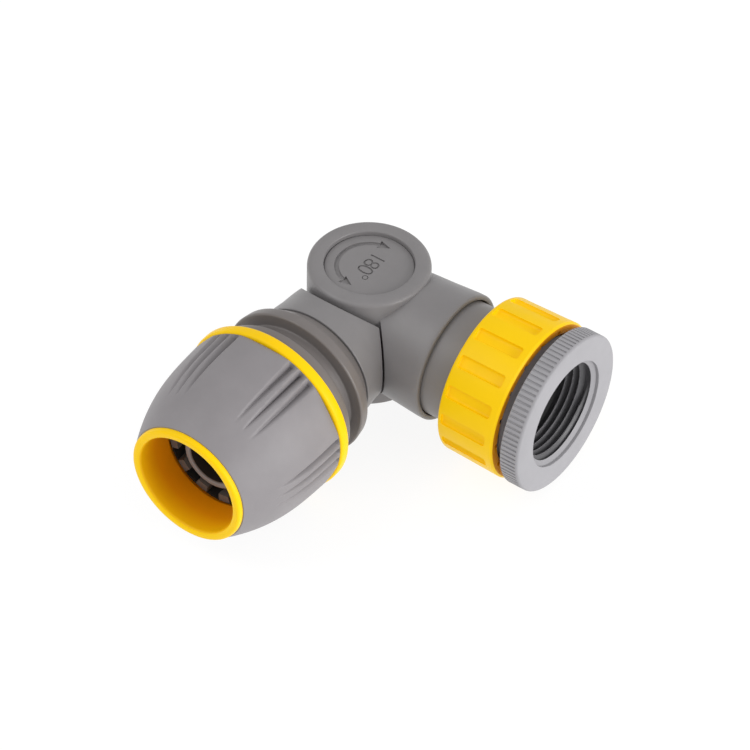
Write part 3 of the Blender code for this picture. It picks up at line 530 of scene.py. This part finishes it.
swivelSpigot = {
    "radius": 8.6 * mm, "grooveFloor": 7.2 * mm, "grooves": (1.2 * mm, 3.7 * mm), "grooveWidth": 1.7 * mm,
    "clipFloor": 7.7 * mm, "clipGroove": 7.3 * mm, "clipWidth": 1.3 * mm, "top": 9.25 * mm,
    "root": 1.5 * mm, "endRounding": 0.3 * mm,
}


def turnChannel(channel, length):
    level, halfHeight, halfWidth = channel
    bpy.ops.object.select_all(action="DESELECT")
    bpy.ops.mesh.primitive_cylinder_add(vertices=64, radius=1, depth=length, location=(0, 0, length / 2))
    bore = nameNew("waterway")
    bore.scale = (halfHeight, halfWidth, 1)
    applyPlace(bore)
    bore.rotation_euler.y = quarter
    bore.location.z = level
    applyPlace(bore)
    return bore


def elbowHalf(name, barrel, end):
    socket = barrel["socketRadius"]
    corners = [
        (0, elbow["socketReach"]),
        (socket, elbow["socketReach"]),
        (socket, end, elbow["mouthRounding"]),
        (barrel["radius"], end, barrel["lipRounding"]),
        (barrel["radius"], end - barrel["parallel"], elbow["lipBlend"]),
        (elbow["throatRadius"], elbow["throatReach"], elbow["throatBlend"]),
        (elbow["rootRadius"], 0),
        (0, 0),
    ]
    half = turnOutline(name, corners)
    half.rotation_euler.y = quarter
    applyPlace(half)
    side = 3 * end
    wedge = addBlock("mitre", (0, 0, -side), (side, side, side))
    wedge.rotation_euler.z = -math.pi / 4
    wedge.location.x = elbow["mitreGap"] * math.sqrt(2)
    applyPlace(wedge)
    combine(half, wedge, "INTERSECT")
    sweep = elbow["hubRadius"] + elbow["sweepGap"]
    level = elbow["seamGap"] + elbow["sweepRise"]
    top = axisHeight
    below = -elbow["throatRadius"] - mm
    carve(half, turnOutline("sweep", [(0, level), (sweep, level), (sweep, below), (0, below)]))
    hub = [
        (0, top), (elbow["hubRadius"], top, elbow["hubRounding"]),
        (elbow["hubRadius"], elbow["seamGap"]), (0, elbow["seamGap"]),
    ]
    weldOn(half, turnOutline("halfHub", hub))
    carve(half, turnChannel(barrel["channel"], elbow["socketReach"] + mm))
    return half


def hubCavity(barrel, boreEnd):
    seatLevel = axisHeight - elbow["seatDepth"]
    corners = [
        (0, axisHeight + mm),
        (elbow["seatRadius"] + elbow["rimFlare"], axisHeight + mm),
        (elbow["seatRadius"], axisHeight - elbow["rimDrop"], elbow["rimRounding"]),
        (elbow["seatRadius"], seatLevel),
        (elbow["chamberRadius"], seatLevel),
        (elbow["chamberRadius"], barrel["floor"]),
        (barrel["bore"], barrel["floor"]),
        (barrel["bore"], boreEnd),
        (0, boreEnd),
    ]
    return turnOutline("hubCavity", corners)


def buildTapArm():
    arm = elbowHalf("tapArm", tapBarrel, reachOf("tap_arm_body")[1])
    carve(arm, hubCavity(tapBarrel, -mm))
    seat(arm, "hub", "tap_arm_body", material["bodyPlastic"])


def buildHoseArm():
    arm = elbowHalf("hoseArm", hoseBarrel, reachOf("hose_arm_body")[1])
    post = swivelSpigot
    grooves = [(start, post["grooveWidth"], post["grooveFloor"]) for start in post["grooves"]]
    grooves.append((post["clipGroove"], post["clipWidth"], post["clipFloor"]))
    corners = [(0, post["root"]), (post["radius"], post["root"])]
    for start, width, low in grooves:
        end = start + width
        corners += [(post["radius"], -start), (low, -start), (low, -end), (post["radius"], -end)]
    corners += [(post["radius"], -post["top"], post["endRounding"]), (0, -post["top"])]
    weldOn(arm, turnOutline("swivelPost", corners[::-1]))
    carve(arm, hubCavity(hoseBarrel, -post["top"] - mm))
    seat(arm, "hubBelow", "hose_arm_body", material["bodyPlastic"])


# The caps: a disc with a skirt. The top one carries the swivel arrow and the plain angle mark.
hubCap = {
    "radius": 10.86 * mm, "rounding": 0.35 * mm, "recess": 1.1 * mm, "skirtRadius": 9.7 * mm,
    "skirtWall": 1.0 * mm, "skirtDepth": 1.2 * mm, "seatGap": 0.3 * mm,
    "arrowRadius": 7.8 * mm, "arrowWidth": 1.15 * mm, "arrowDepth": 0.55 * mm, "arrowRounding": 0.15 * mm,
    "arrowBack": -2.2 * mm, "headDepth": 0.65 * mm, "headTurn": math.radians(8),
    "headMiddle": (-1.5 * mm, 7.65 * mm), "headRadius": 2.05 * mm, "headWaist": 0.76,
    "markSize": 6.0 * mm, "markThin": -0.05 * mm, "markSpacing": 0.84, "markDepth": 0.35 * mm,
    "markPlace": (-0.2 * mm, -0.1 * mm),
}


def turnCap(name, face):
    seatLevel = axisHeight - elbow["seatDepth"] + hubCap["seatGap"]
    skirt = seatLevel - hubCap["seatGap"] - hubCap["skirtDepth"]
    inner = hubCap["skirtRadius"] - hubCap["skirtWall"]
    corners = [
        (0, face), (hubCap["radius"], face, hubCap["rounding"]), (hubCap["radius"], seatLevel),
        (hubCap["skirtRadius"], seatLevel), (hubCap["skirtRadius"], skirt), (inner, skirt),
        (inner, seatLevel), (0, seatLevel),
    ]
    return turnOutline(name, corners)


# The swivel arrow: an arc round the cap's back, with a head at each end that points along it.
def carveArrow(cap, face):
    inner = hubCap["arrowRadius"] - hubCap["arrowWidth"] / 2
    outer = hubCap["arrowRadius"] + hubCap["arrowWidth"] / 2
    floor = face - hubCap["arrowDepth"]
    top = face + mm
    edge = hubCap["arrowRounding"]
    band = turnOutline("arrowBand", [(outer, top), (outer, floor, edge), (inner, floor, edge), (inner, top)])
    wide = 2 * outer
    block = addBlock("arrowHalf", (-wide, -wide, floor - mm), (hubCap["arrowBack"], wide, top + mm))
    carve(cap, combine(band, block, "INTERSECT"))
    across, out = hubCap["headMiddle"]
    depth = hubCap["headDepth"] + mm
    for side in (1, -1):
        bpy.ops.object.select_all(action="DESELECT")
        bpy.ops.mesh.primitive_cylinder_add(vertices=3, radius=hubCap["headRadius"], depth=depth)
        head = nameNew("arrowHead")
        head.scale.x = hubCap["headWaist"]
        applyPlace(head)
        head.rotation_euler.z = -quarter + side * hubCap["headTurn"]
        head.location = (across, side * out, top - depth / 2)
        applyPlace(head)
        carve(cap, head)


def carveMark(cap, face):
    bpy.ops.object.select_all(action="DESELECT")
    bpy.ops.object.text_add()
    letters = bpy.context.active_object
    letters.data.body = "180\u00b0"
    letters.data.align_x = "CENTER"
    letters.data.align_y = "CENTER"
    letters.data.size = hubCap["markSize"]
    letters.data.offset = hubCap["markThin"]
    letters.data.space_character = hubCap["markSpacing"]
    letters.data.extrude = hubCap["markDepth"]
    bpy.ops.object.convert(target="MESH")
    mark = nameNew("angleMark")
    openEdit(mark)
    bpy.ops.mesh.select_all(action="SELECT")
    bpy.ops.mesh.remove_doubles(threshold=weldDistance)
    bpy.ops.mesh.normals_make_consistent(inside=False)
    closeEdit()
    mark.rotation_euler.z = -quarter
    mark.location = (*hubCap["markPlace"], face)
    applyPlace(mark)
    carve(cap, mark)


def buildCaps():
    face = axisHeight - hubCap["recess"]
    cap = turnCap("markedCap", face)
    carveArrow(cap, face)
    carveMark(cap, face)
    seat(cap, "hub", "hub_cap", material["bodyPlastic"])
    plug = turnCap("basePlug", axisHeight)
    seat(plug, "hubBelow", "base_cap", material["bodyPlastic"])


# The neck that carries the collar nut, with its seal groove, shoulder and clip groove.
neck = {
    "radius": 14.8 * mm, "boreRadius": 11.0 * mm, "shoulder": 33.8 * mm, "noseRadius": 13.6 * mm,
    "grooveStart": 20.5 * mm, "grooveWidth": 1.8 * mm, "grooveFloor": 13.3 * mm,
    "clipStart": 36.75 * mm, "clipWidth": 1.7 * mm, "clipFloor": 12.6 * mm,
    "noseRounding": 0.3 * mm, "shoulderRounding": 0.35 * mm, "endRounding": 0.4 * mm,
}


def grooveCorners(radius, floor, start, width):
    return [(radius, start + width), (floor, start + width), (floor, start), (radius, start)]


def buildNeck():
    start, end = reachOf("tap_spigot")
    corners = [(neck["noseRadius"], end, neck["noseRounding"])]
    corners += grooveCorners(neck["noseRadius"], neck["clipFloor"], neck["clipStart"], neck["clipWidth"])
    corners.append((neck["noseRadius"], neck["shoulder"]))
    corners.append((neck["radius"], neck["shoulder"], neck["shoulderRounding"]))
    corners += grooveCorners(neck["radius"], neck["grooveFloor"], neck["grooveStart"], neck["grooveWidth"])
    corners.append((neck["radius"], start, neck["endRounding"]))
    corners += [(neck["boreRadius"], start), (neck["boreRadius"], end)]
    seat(turnOutline("neckTube", corners), "tap", "tap_spigot", material["bodyPlastic"])


# The captive collar nut: sixteen pockets outside and a G1 thread inside.
collar = {
    "frontRadius": 20.3 * mm, "backRadius": 19.9 * mm, "rounding": 0.7 * mm, "plate": 2.5 * mm,
    "chamfer": (0.5 * mm, 0.5 * mm), "frontSetback": 1.1 * mm, "notchWidth": 1.3 * mm, "notchDepth": 0.8 * mm,
    "notchTurn": math.radians(5), "threadStart": 1.9 * mm,
    "holeRadius": 13.9 * mm, "threadRoot": 16.95 * mm, "threadCrest": 15.75 * mm, "pitch": 2.309 * mm,
    "mouthRadius": 17.9 * mm, "mouthDepth": 0.8 * mm, "pocketCount": 16, "pocketFirst": math.radians(18.5),
    "pocketWidth": 3.3 * mm, "pocketDepth": 1.0 * mm, "pocketSetback": 1.1 * mm, "pocketLength": 12.6 * mm,
    "pocketCorner": 0.75 * mm, "toolDepth": 3 * mm, "edgeRounding": 0.15 * mm, "boreRounding": 0.2 * mm,
    "threadTurns": 4, "deepEdge": 0.4 * mm, "deepReach": 0.05 * mm,
}


def collarPocket(start, end):
    slope = (collar["frontRadius"] - collar["backRadius"]) / (end - start)
    low = start + collar["pocketSetback"]
    floor = collar["backRadius"] + slope * collar["pocketSetback"] - collar["pocketDepth"]
    half = collar["pocketWidth"] / 2
    tool = addBlock("pocket", (0, -half, 0), (collar["toolDepth"], half, collar["pocketLength"]))
    openEdit(tool)
    bpy.ops.mesh.select_all(action="DESELECT")
    closeEdit()
    for edge in tool.data.edges:
        ends = [tool.data.vertices[index].co for index in edge.vertices]
        edge.select = abs(ends[0].x - ends[1].x) > mm
    openEdit(tool)
    bpy.ops.mesh.bevel(offset=collar["pocketCorner"], segments=5)
    closeEdit()
    tool.rotation_euler.y = math.atan(slope)
    tool.location = (floor, 0, low)
    applyPlace(tool)
    return tool


def buildCollar():
    start, end = reachOf("collar_nut")
    end -= collar["frontSetback"]
    inward, back = collar["chamfer"]
    corners = [
        (collar["frontRadius"] - inward, end), (collar["frontRadius"], end - back, collar["edgeRounding"]),
        (collar["backRadius"], start, collar["rounding"]),
        (collar["holeRadius"], start, collar["boreRounding"]),
        (collar["holeRadius"], start + collar["plate"]),
        (collar["threadRoot"], start + collar["plate"]),
        (collar["threadRoot"], end - collar["mouthDepth"], collar["boreRounding"]),
        (collar["mouthRadius"], end, collar["edgeRounding"]),
    ]
    nut = turnOutline("collarNut", corners)
    carve(nut, repeatRound(collarPocket(start, end), collar["pocketCount"], collar["pocketFirst"]))
    half = collar["notchWidth"] / 2
    reach = collar["mouthRadius"] + collar["notchDepth"]
    notchFloor = end - collar["notchDepth"]
    notch = addBlock("notch", (collar["threadRoot"], -half, notchFloor), (reach, half, end + mm))
    carve(nut, repeatRound(notch, collar["pocketCount"], collar["pocketFirst"] + collar["notchTurn"]))
    section = ridgeSection(collar["threadRoot"], collar["threadCrest"], collar["pitch"])
    first = start + collar["plate"] + collar["threadStart"]
    weldOn(nut, threadBar("collarThread", section, first, collar["pitch"], collar["threadTurns"]))
    seat(nut, "tap", "collar_nut", material["nutPlastic"])
    # Painted shade: the collar nut's front face and the bore inside its rim take the deeper orange of painted
    # shade.
    face = notchFloor - collar["deepReach"]
    edge = collar["frontRadius"] - collar["deepEdge"]
    finishOrPaintedShadeWhere(nut, "tap", material["mouthPlastic"], lambda radius, reach: face < reach and radius < edge)


# The thread adaptor: G1 outside, G3/4 inside, and a rim with fine ribs that stop short of its face.
adapter = {
    "rimLength": 5.1 * mm, "rimRadius": 20.3 * mm, "faceRounding": 0.6 * mm, "floor": 3.0 * mm,
    "holeRadius": 9.5 * mm, "outerRoot": 15.1 * mm, "outerCrest": 16.35 * mm, "outerPitch": 2.309 * mm,
    "outerStart": 1.0 * mm, "outerTurns": 3, "innerRoot": 13.25 * mm, "innerCrest": 12.1 * mm,
    "innerPitch": 1.814 * mm, "innerStart": 0.9 * mm, "innerTurns": 4, "mouthRadius": 13.8 * mm,
    "mouthWall": 0.8 * mm, "leadRadius": 12.7 * mm, "leadDepth": 1.55 * mm,
    "ribCount": 96, "ribGap": 0.56 * mm, "ribDepth": 0.36 * mm, "ribEnd": 0.7 * mm, "toolDepth": 2 * mm,
    "ribBevel": 0.252 * mm, "steps": 192, "mouthRounding": 0.15 * mm, "rimRounding": 0.35 * mm,
    "endRounding": 0.4 * mm, "leadRise": 0.3 * mm, "mouthTaper": 0.05 * mm, "finishEdge": 0.05 * mm,
}


def ribGapTool(rimStart, end):
    half = adapter["ribGap"] / 2
    low = adapter["rimRadius"] - adapter["ribDepth"]
    top = low + adapter["toolDepth"]
    tool = addBlock("ribGap", (low, -half, rimStart - mm), (top, half, end - adapter["ribEnd"]))
    for edge in tool.data.edges:
        ends = [tool.data.vertices[index].co for index in edge.vertices]
        lowFront = all(co.x < low + mm and co.z > rimStart for co in ends)
        lowSide = all(co.x < low + mm for co in ends) and abs(ends[0].z - ends[1].z) > mm
        edge.select = lowFront or lowSide
    bpy.context.tool_settings.mesh_select_mode = edgeMode
    openEdit(tool)
    bpy.ops.mesh.bevel(offset=adapter["ribBevel"], segments=2)
    closeEdit()
    bpy.context.tool_settings.mesh_select_mode = vertexMode
    return tool


def buildAdapter():
    start, end = reachOf("thread_adapter")
    rimStart = end - adapter["rimLength"]
    lead = end - adapter["leadDepth"]
    corners = [
        (adapter["mouthRadius"], end, adapter["mouthRounding"]),
        (adapter["rimRadius"], end, adapter["faceRounding"]),
        (adapter["rimRadius"], rimStart, adapter["rimRounding"]), (adapter["outerRoot"], rimStart),
        (adapter["outerRoot"], start, adapter["endRounding"]), (adapter["holeRadius"], start),
        (adapter["holeRadius"], start + adapter["floor"]), (adapter["innerRoot"], start + adapter["floor"]),
        (adapter["innerRoot"], lead - adapter["leadRise"]), (adapter["leadRadius"], lead),
        (adapter["mouthRadius"] - adapter["mouthTaper"], end - adapter["mouthWall"]),
    ]
    body = turnOutline("threadAdapter", corners, adapter["steps"])
    carve(body, repeatRound(ribGapTool(rimStart, end), adapter["ribCount"], math.pi / adapter["ribCount"]))
    outer = ridgeSection(adapter["outerRoot"], adapter["outerCrest"], adapter["outerPitch"])
    outerStart = start + adapter["outerStart"]
    weldOn(body, threadBar("outerThread", outer, outerStart, adapter["outerPitch"], adapter["outerTurns"]))
    inner = ridgeSection(adapter["innerRoot"], adapter["innerCrest"], adapter["innerPitch"])
    innerStart = lead - adapter["innerStart"] - adapter["innerTurns"] * adapter["innerPitch"]
    weldOn(body, threadBar("innerThread", inner, innerStart, adapter["innerPitch"], adapter["innerTurns"]))
    seat(body, "tap", "thread_adapter", material["adapterPlastic"])
    edge = adapter["finishEdge"]

    def inThread(radius, reach):
        return adapter["innerCrest"] + edge < radius < adapter["innerRoot"] + edge and reach < lead - edge

    finishOrPaintedShadeWhere(body, "tap", material["threadPlastic"], inThread)


# The hose stem: seal groove, flange, stop collar, thread sleeve and barbed tail.
stem = {
    "spigotRadius": 13.0 * mm, "grooveFloor": 11.5 * mm, "grooveStart": 19.5 * mm, "grooveWidth": 1.8 * mm,
    "boreRadius": 9.0 * mm, "tailBore": 6.1 * mm, "tailBoreReach": 43.0 * mm,
    "flangeStart": 23.1 * mm, "flangeBackRadius": 16.1 * mm, "flangeCorner": (19.3 * mm, 27.0 * mm),
    "flangeRadius": 19.75 * mm, "flangeEnd": 29.9 * mm, "coreRadius": 16.35 * mm,
    "collarRadius": 19.9 * mm, "collarStart": 34.5 * mm, "collarEnd": 37.6 * mm,
    "sleeveRoot": 16.15 * mm, "sleeveCrest": 17.35 * mm, "sleeveBore": 13.9 * mm, "sleeveEnd": 50.5 * mm,
    "pitch": 3.0 * mm, "web": 43.0 * mm, "tailRoot": 8.3 * mm, "barbRadius": 9.2 * mm, "tipRadius": 7.6 * mm,
    "barbPitch": 5.0 * mm, "barbCount": 3, "tipSetback": 2.6 * mm, "threadStart": 2.0 * mm, "threadTurns": 3,
    "crestShare": 0.3, "tipRounding": (0.4 * mm, 0.5 * mm), "barbRounding": 0.12 * mm, "boreBlend": 3 * mm,
    "innerRounding": 0.4 * mm, "sleeveRounding": 0.3 * mm, "outerRounding": 0.5 * mm,
    "shoulderRounding": 0.8 * mm, "boreFinish": 0.3 * mm, "tailFinish": 0.2 * mm, "tipFinish": 0.5 * mm,
}


def buildStem():
    start, tip = reachOf("hose_stem")
    tip -= stem["tipSetback"]
    inner, sleeve, outer = stem["innerRounding"], stem["sleeveRounding"], stem["outerRounding"]
    boreRounding, tipRounding = stem["tipRounding"]
    corners = [(stem["tailBore"], tip, boreRounding), (stem["tipRadius"], tip, tipRounding)]
    for index in range(1, stem["barbCount"] + 1):
        edge = tip - index * stem["barbPitch"]
        corners += [(radius, edge, stem["barbRounding"]) for radius in (stem["barbRadius"], stem["tailRoot"])]
    corners += [
        (stem["tailRoot"], stem["web"], inner), (stem["sleeveBore"], stem["web"], inner),
        (stem["sleeveBore"], stem["sleeveEnd"]), (stem["sleeveRoot"], stem["sleeveEnd"], sleeve),
        (stem["sleeveRoot"], stem["collarEnd"], sleeve), (stem["collarRadius"], stem["collarEnd"], outer),
        (stem["collarRadius"], stem["collarStart"], outer), (stem["coreRadius"], stem["collarStart"], outer),
        (stem["coreRadius"], stem["flangeEnd"], outer), (stem["flangeRadius"], stem["flangeEnd"], outer),
        (*stem["flangeCorner"], stem["shoulderRounding"]),
        (stem["flangeBackRadius"], stem["flangeStart"], outer), (stem["spigotRadius"], stem["flangeStart"]),
    ]
    spigot = stem["spigotRadius"]
    corners += grooveCorners(spigot, stem["grooveFloor"], stem["grooveStart"], stem["grooveWidth"])
    corners += [
        (spigot, start, inner), (stem["boreRadius"], start),
        (stem["boreRadius"], stem["collarStart"], stem["boreBlend"]),
        (stem["tailBore"], stem["tailBoreReach"], stem["boreBlend"]),
    ]
    body = turnOutline("hoseStem", corners)
    section = ridgeSection(stem["sleeveRoot"], stem["sleeveCrest"], stem["pitch"], stem["crestShare"])
    first = stem["collarEnd"] + stem["threadStart"]
    weldOn(body, threadBar("sleeveThread", section, first, stem["pitch"], stem["threadTurns"]))
    seat(body, "hose", "hose_stem", material["stemPlastic"])
    # Painted shade: the tail's bore takes the black seal finish as painted shade. The tail's barbs and tip
    # take the lighter body grey.
    bore = stem["tailBore"] + stem["boreFinish"]
    tail = stem["barbRadius"] + stem["tailFinish"]
    web = stem["web"] + stem["tailFinish"]
    tipFace = tip - stem["tipFinish"]

    def onTail(radius, reach):
        return bore < radius < tail and reach > web

    def inBore(radius, reach):
        return radius < bore and reach < tipFace

    finishOrPaintedShadeWhere(body, "hose", material["bodyPlastic"], onTail)
    finishOrPaintedShadeWhere(body, "hose", material["sealRubber"], inBore)


# The hose nut's yellow core: back ring, threaded bore, cone and rounded mouth.
nutCore = {
    "ringLength": 3.0 * mm, "ringRadius": 22.3 * mm, "ringRounding": 0.75 * mm, "coreRadius": 18.6 * mm,
    "mouthOuter": 14.6 * mm, "mouthRadius": 13.3 * mm, "coneReach": 52.0 * mm, "coneRadius": 16.3 * mm,
    "coneEnd": 60.9 * mm, "coneEndRadius": 13.7 * mm, "taperEnd": 66.0 * mm, "lipBack": 70.5 * mm,
    "lipRadius": 15.5 * mm, "threadRoot": 17.75 * mm, "threadCrest": 16.55 * mm, "pitch": 3.0 * mm,
    "threadStart": 2.8 * mm, "threadTurns": 3, "crestShare": 0.3, "mouthRounding": 0.9 * mm,
    "lipRounding": 1.45 * mm, "boreRounding": 0.3 * mm, "rootStep": 0.5 * mm, "mouthStep": 0.4 * mm,
    "deepEnd": 0.3 * mm, "deepWall": 3.2 * mm, "deepLip": 0.6 * mm,
}


def buildNutCore():
    start, end = reachOf("hose_nut")
    ringEnd = start + nutCore["ringLength"]
    corners = [
        (nutCore["mouthRadius"], end, nutCore["mouthRounding"]),
        (nutCore["lipRadius"], end, nutCore["lipRounding"]),
        (nutCore["lipRadius"], nutCore["lipBack"]), (nutCore["mouthOuter"], nutCore["lipBack"]),
        (nutCore["mouthOuter"], nutCore["taperEnd"]), (nutCore["coreRadius"], nutCore["coneReach"]),
        (nutCore["coreRadius"], ringEnd), (nutCore["ringRadius"], ringEnd, nutCore["ringRounding"]),
        (nutCore["ringRadius"], start, nutCore["ringRounding"]),
        (nutCore["threadRoot"], start, nutCore["boreRounding"]),
        (nutCore["threadRoot"], nutCore["coneReach"] - nutCore["rootStep"]),
        (nutCore["coneRadius"], nutCore["coneReach"]), (nutCore["coneEndRadius"], nutCore["coneEnd"]),
        (nutCore["mouthRadius"], nutCore["coneEnd"] + nutCore["mouthStep"]),
    ]
    core = turnOutline("nutCore", corners)
    pitch = nutCore["pitch"]
    section = ridgeSection(nutCore["threadRoot"], nutCore["threadCrest"], pitch, nutCore["crestShare"])
    first = start + nutCore["threadStart"]
    weldOn(core, threadBar("nutThread", section, first, pitch, nutCore["threadTurns"]))
    seat(core, "hose", "hose_nut", material["nutPlastic"])

    # Painted shade: the mouth's inner wall and cone take the deeper orange that paints the shade inside it.
    def inMouth(radius, reach):
        onLip = reach > nutCore["lipBack"] - mm and radius > nutCore["mouthRadius"] + nutCore["deepLip"]
        within = nutCore["coneReach"] - mm < reach < end - nutCore["deepEnd"]
        return within and radius < nutCore["mouthRadius"] + nutCore["deepWall"] and not onLip

    finishOrPaintedShadeWhere(core, "hose", material["mouthPlastic"], inMouth)


# The grey grip over the core. Its side is one long curve, cut by six groups of three tapering grooves,
# and each panel between two groups dips under the yellow ring.
grip = {
    "backRadius": 22.0 * mm, "frontRadius": 15.8 * mm, "backPull": (21.45 * mm, 50.3 * mm),
    "frontPull": (22.1 * mm, 58.4 * mm), "gap": 0.3 * mm, "rows": 72, "columns": 480,
    "groups": 6, "spread": math.radians(7.9), "grooveTip": 62.6 * mm, "grooveDepth": 2.3 * mm,
    "grooveHalfWidth": 1.5 * mm, "web": (0.05 * mm, 0.40 * mm), "endFill": 0.27 * mm,
    "dishLength": 2.4 * mm, "dishDepth": 0.65 * mm, "dishHalfAngle": math.radians(19),
    "grooveNarrow": (0.15, 0.6), "grooveFade": 0.75, "grooveSharp": 1.6, "dishRound": 1.5,
    "edgeDrop": 0.25 * mm, "edgeLength": 0.5 * mm, "boreReach": 62.0 * mm, "boreRadius": 19.2 * mm,
}


def gripSide(start, end):
    knots = [(grip["backRadius"], start), grip["backPull"], grip["frontPull"], (grip["frontRadius"], end)]
    knots = [Vector((*knot, 0)) for knot in knots]
    return [point[:2] for point in interpolate_bezier(knots[0], knots[1], knots[2], knots[3], grip["rows"])]


# How deep the grip is cut at an angle and a reach.
def gripCut(angle, radius, reach, start):
    pitch = 2 * math.pi / grip["groups"]
    off = (angle + pitch / 2) % pitch - pitch / 2
    along = (grip["grooveTip"] - reach) / (grip["grooveTip"] - start)
    cut = 0.0
    if along > 0:
        clear, full = grip["web"]  # a thin web closes each groove at the ring
        opened = min(1, max(0, (reach - start - clear) / (full - clear)))
        least, narrowing = grip["grooveNarrow"]
        half = grip["grooveHalfWidth"] * (least + (1 - least) * along ** narrowing)
        deep = grip["grooveDepth"] * opened * along ** grip["grooveFade"]
        for centre in (-grip["spread"], 0, grip["spread"]):
            across = abs(off - centre) * radius / half
            if across < 1:
                cut = max(cut, deep * (1 - across) ** grip["grooveSharp"])
    panel = abs(abs(off) - pitch / 2) / grip["dishHalfAngle"]
    near = 1 - (reach - start) / grip["dishLength"]
    if panel < 1 and near > 0:
        cut += grip["dishDepth"] * near ** 2 * (1 - panel ** 2) ** grip["dishRound"]
    if reach < start + grip["edgeLength"]:
        cut += grip["edgeDrop"] * (1 - (reach - start) / grip["edgeLength"]) ** 2
    return cut


def buildGrip():
    start, end = reachOf("nut_grip")
    start -= grip["endFill"]
    end += grip["endFill"]
    gap = grip["gap"]
    corners = gripSide(start, end)[::-1]
    corners += [
        (nutCore["coreRadius"] + gap, start), (nutCore["coreRadius"] + gap, nutCore["coneReach"]),
        (nutCore["mouthOuter"] + gap, nutCore["taperEnd"]), (nutCore["mouthOuter"] + gap, end),
    ]
    sleeve = turnOutline("handGrip", corners, grip["columns"])
    for vertex in sleeve.data.vertices:
        radius = math.hypot(vertex.co.x, vertex.co.y)
        reach = vertex.co.z
        if radius < grip["boreRadius"] and reach < grip["boreReach"]:
            continue
        cut = gripCut(math.atan2(vertex.co.y, vertex.co.x), radius, reach, start)
        share = 1 - cut / radius
        vertex.co.x *= share
        vertex.co.y *= share
    seat(sleeve, "hose", "nut_grip", material["gripRubber"])


# The collet: a ring with twelve jaws whose bores carry small teeth.
jaws = {
    "ringLength": 2.2 * mm, "ringBore": 13.6 * mm, "count": 12, "first": math.radians(11),
    "bore": 11.4 * mm, "slot": 3.2 * mm, "slotFloor": 12.9 * mm, "toothDepth": 0.35 * mm,
    "toothPitch": 1.4 * mm, "teeth": 4, "toothLead": 0.1 * mm, "clear": 0.3 * mm,
    "tipRounding": 0.15 * mm, "backRounding": 0.2 * mm, "slotStart": 10 * mm, "finishEdge": 0.1 * mm,
}


def buildJaws():
    start, end = reachOf("collet")
    slope = (nutCore["coneEndRadius"] - nutCore["coneRadius"]) / (nutCore["coneEnd"] - nutCore["coneReach"])
    ringEnd = start + jaws["ringLength"]
    ringRadius = nutCore["coneRadius"] + slope * (ringEnd - nutCore["coneReach"]) - jaws["clear"]
    tipRadius = nutCore["coneRadius"] + slope * (end - nutCore["coneReach"]) - jaws["clear"]
    corners = [
        (tipRadius, end, jaws["tipRounding"]), (ringRadius, ringEnd),
        (ringRadius, start, jaws["backRounding"]),
        (jaws["ringBore"], start), (jaws["ringBore"], ringEnd),
    ]
    for index in range(jaws["teeth"], 0, -1):
        edge = end - index * jaws["toothPitch"]
        corners += [(jaws["bore"] + jaws["toothDepth"], edge), (jaws["bore"], edge + jaws["toothLead"])]
    corners.append((jaws["bore"], end))
    ring = turnOutline("jawRing", corners)
    half = jaws["slot"] / 2
    slot = addBlock("jawSlot", (jaws["slotStart"], -half, ringEnd), (jaws["slotFloor"], half, end + mm))
    carve(ring, repeatRound(slot, jaws["count"], jaws["first"] + math.pi / jaws["count"]))
    seat(ring, "hose", "collet", material["jawPlastic"])
    # Painted shade: the slot floors and the ring's bore take the black seal finish as painted shade in the
    # slots.
    low = jaws["slotFloor"] - jaws["finishEdge"]
    finishOrPaintedShadeWhere(ring, "hose", material["sealRubber"], lambda radius, reach: low < radius < jaws["ringBore"])


for build in (
    buildTapArm, buildHoseArm, buildCaps, buildNeck, buildCollar, buildAdapter, buildStem, buildNutCore,
    buildGrip, buildJaws,
):
    build()


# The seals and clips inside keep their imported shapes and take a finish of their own.
innerFinish = {
    "tap_washer": "sealRubber", "face_washer": "sealRubber", "spigot_oring": "sealRubber",
    "stem_oring": "sealRubber", "swivel_oring_lower": "sealRubber", "swivel_oring_upper": "sealRubber",
    "collar_clip": "clipPlastic", "swivel_clip": "clipPlastic", "swivel_washer": "clipPlastic",
}
for node, finish in innerFinish.items():
    frame["nodes"][node].data.materials.clear()
    frame["nodes"][node].data.materials.append(material[finish])
print("inner pieces finished")
